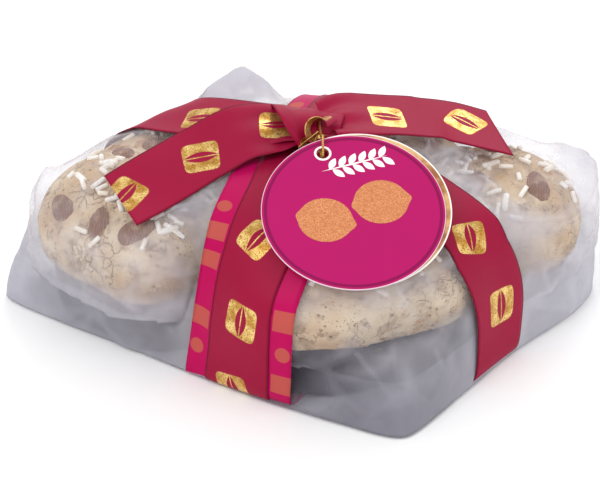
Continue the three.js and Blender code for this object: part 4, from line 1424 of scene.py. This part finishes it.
def make_stage():
    size = 6.0
    corners = [(-size, -size, 0), (size, -size, 0), (size, size, 0), (-size, size, 0)]
    floor = mesh_object("floor", corners, [(0, 1, 2, 3)])
    pale = (0.93, 0.93, 0.935, 1.0)
    floor.data.materials.append(Shader("pale_floor").finished(Base_Color=pale, Roughness=0.9))
    world = bpy.data.worlds.new("studio")
    bpy.context.scene.world = world
    world.use_nodes = True
    background = world.node_tree.nodes["Background"]
    background.inputs["Color"].default_value = (1.0, 1.0, 1.0, 1.0)
    background.inputs["Strength"].default_value = 0.85
    for name, (place, wide, power) in LIGHTS.items():
        light = bpy.data.lights.new(name, "AREA")
        light.size, light.energy = wide, power
        lamp = bpy.data.objects.new(name, light)
        lamp.location = place
        lamp.rotation_euler = (Vector((0, 0, 0.04)) - Vector(place)).to_track_quat("-Z", "Y").to_euler()
        bpy.context.collection.objects.link(lamp)


CAMERA_TILT = math.radians(32)
CAMERA_AWAY = 1.5
CAMERA_LENS = 174
LOOK_AT = Vector((0.0, 0.004, 0.031))


def make_camera():
    data = bpy.data.cameras.new("camera")
    data.lens = CAMERA_LENS
    camera = bpy.data.objects.new("camera", data)
    camera.location = LOOK_AT + Vector((0, -math.cos(CAMERA_TILT), math.sin(CAMERA_TILT))) * CAMERA_AWAY
    camera.rotation_euler = (LOOK_AT - camera.location).to_track_quat("-Z", "Y").to_euler()
    bpy.context.collection.objects.link(camera)
    bpy.context.scene.camera = camera
    bpy.context.scene.view_settings.view_transform = "Standard"


make_camera()
make_string()
make_stage()
cake_body = make_cake()
make_case()
make_almonds()
make_sugar()
make_scattered_sugar()
film_under, film_standing, film_faces, film_haze = shape_film()
crust_points = np.array([tuple(v.co) for v in cake_body.data.vertices])
band_grid, band_marks, band_length = loop_strip(
    "front", BAND_WIDTH, 25, film_under, crust_points, BAND_OFF, 0, BAND_LOWEST
)
side_grid, side_marks, side_length = loop_strip(
    "side", RIBBON_WIDTH, 19, film_under, crust_points, SIDE_OFF, CROSSING[0], RIBBON_LOWEST
)
front_grid = laid_on("front", band_grid, RIBBON_WIDTH / BAND_WIDTH, 19, RIBBON_ON_BAND)
make_film(film_standing, film_faces, film_haze,
          [("front", band_grid, BAND_WIDTH), ("side", side_grid, RIBBON_WIDTH)])
make_band(band_grid, band_marks)
make_ribbon([("front", front_grid, band_marks, band_length), ("side", side_grid, side_marks, side_length)])
make_tags()
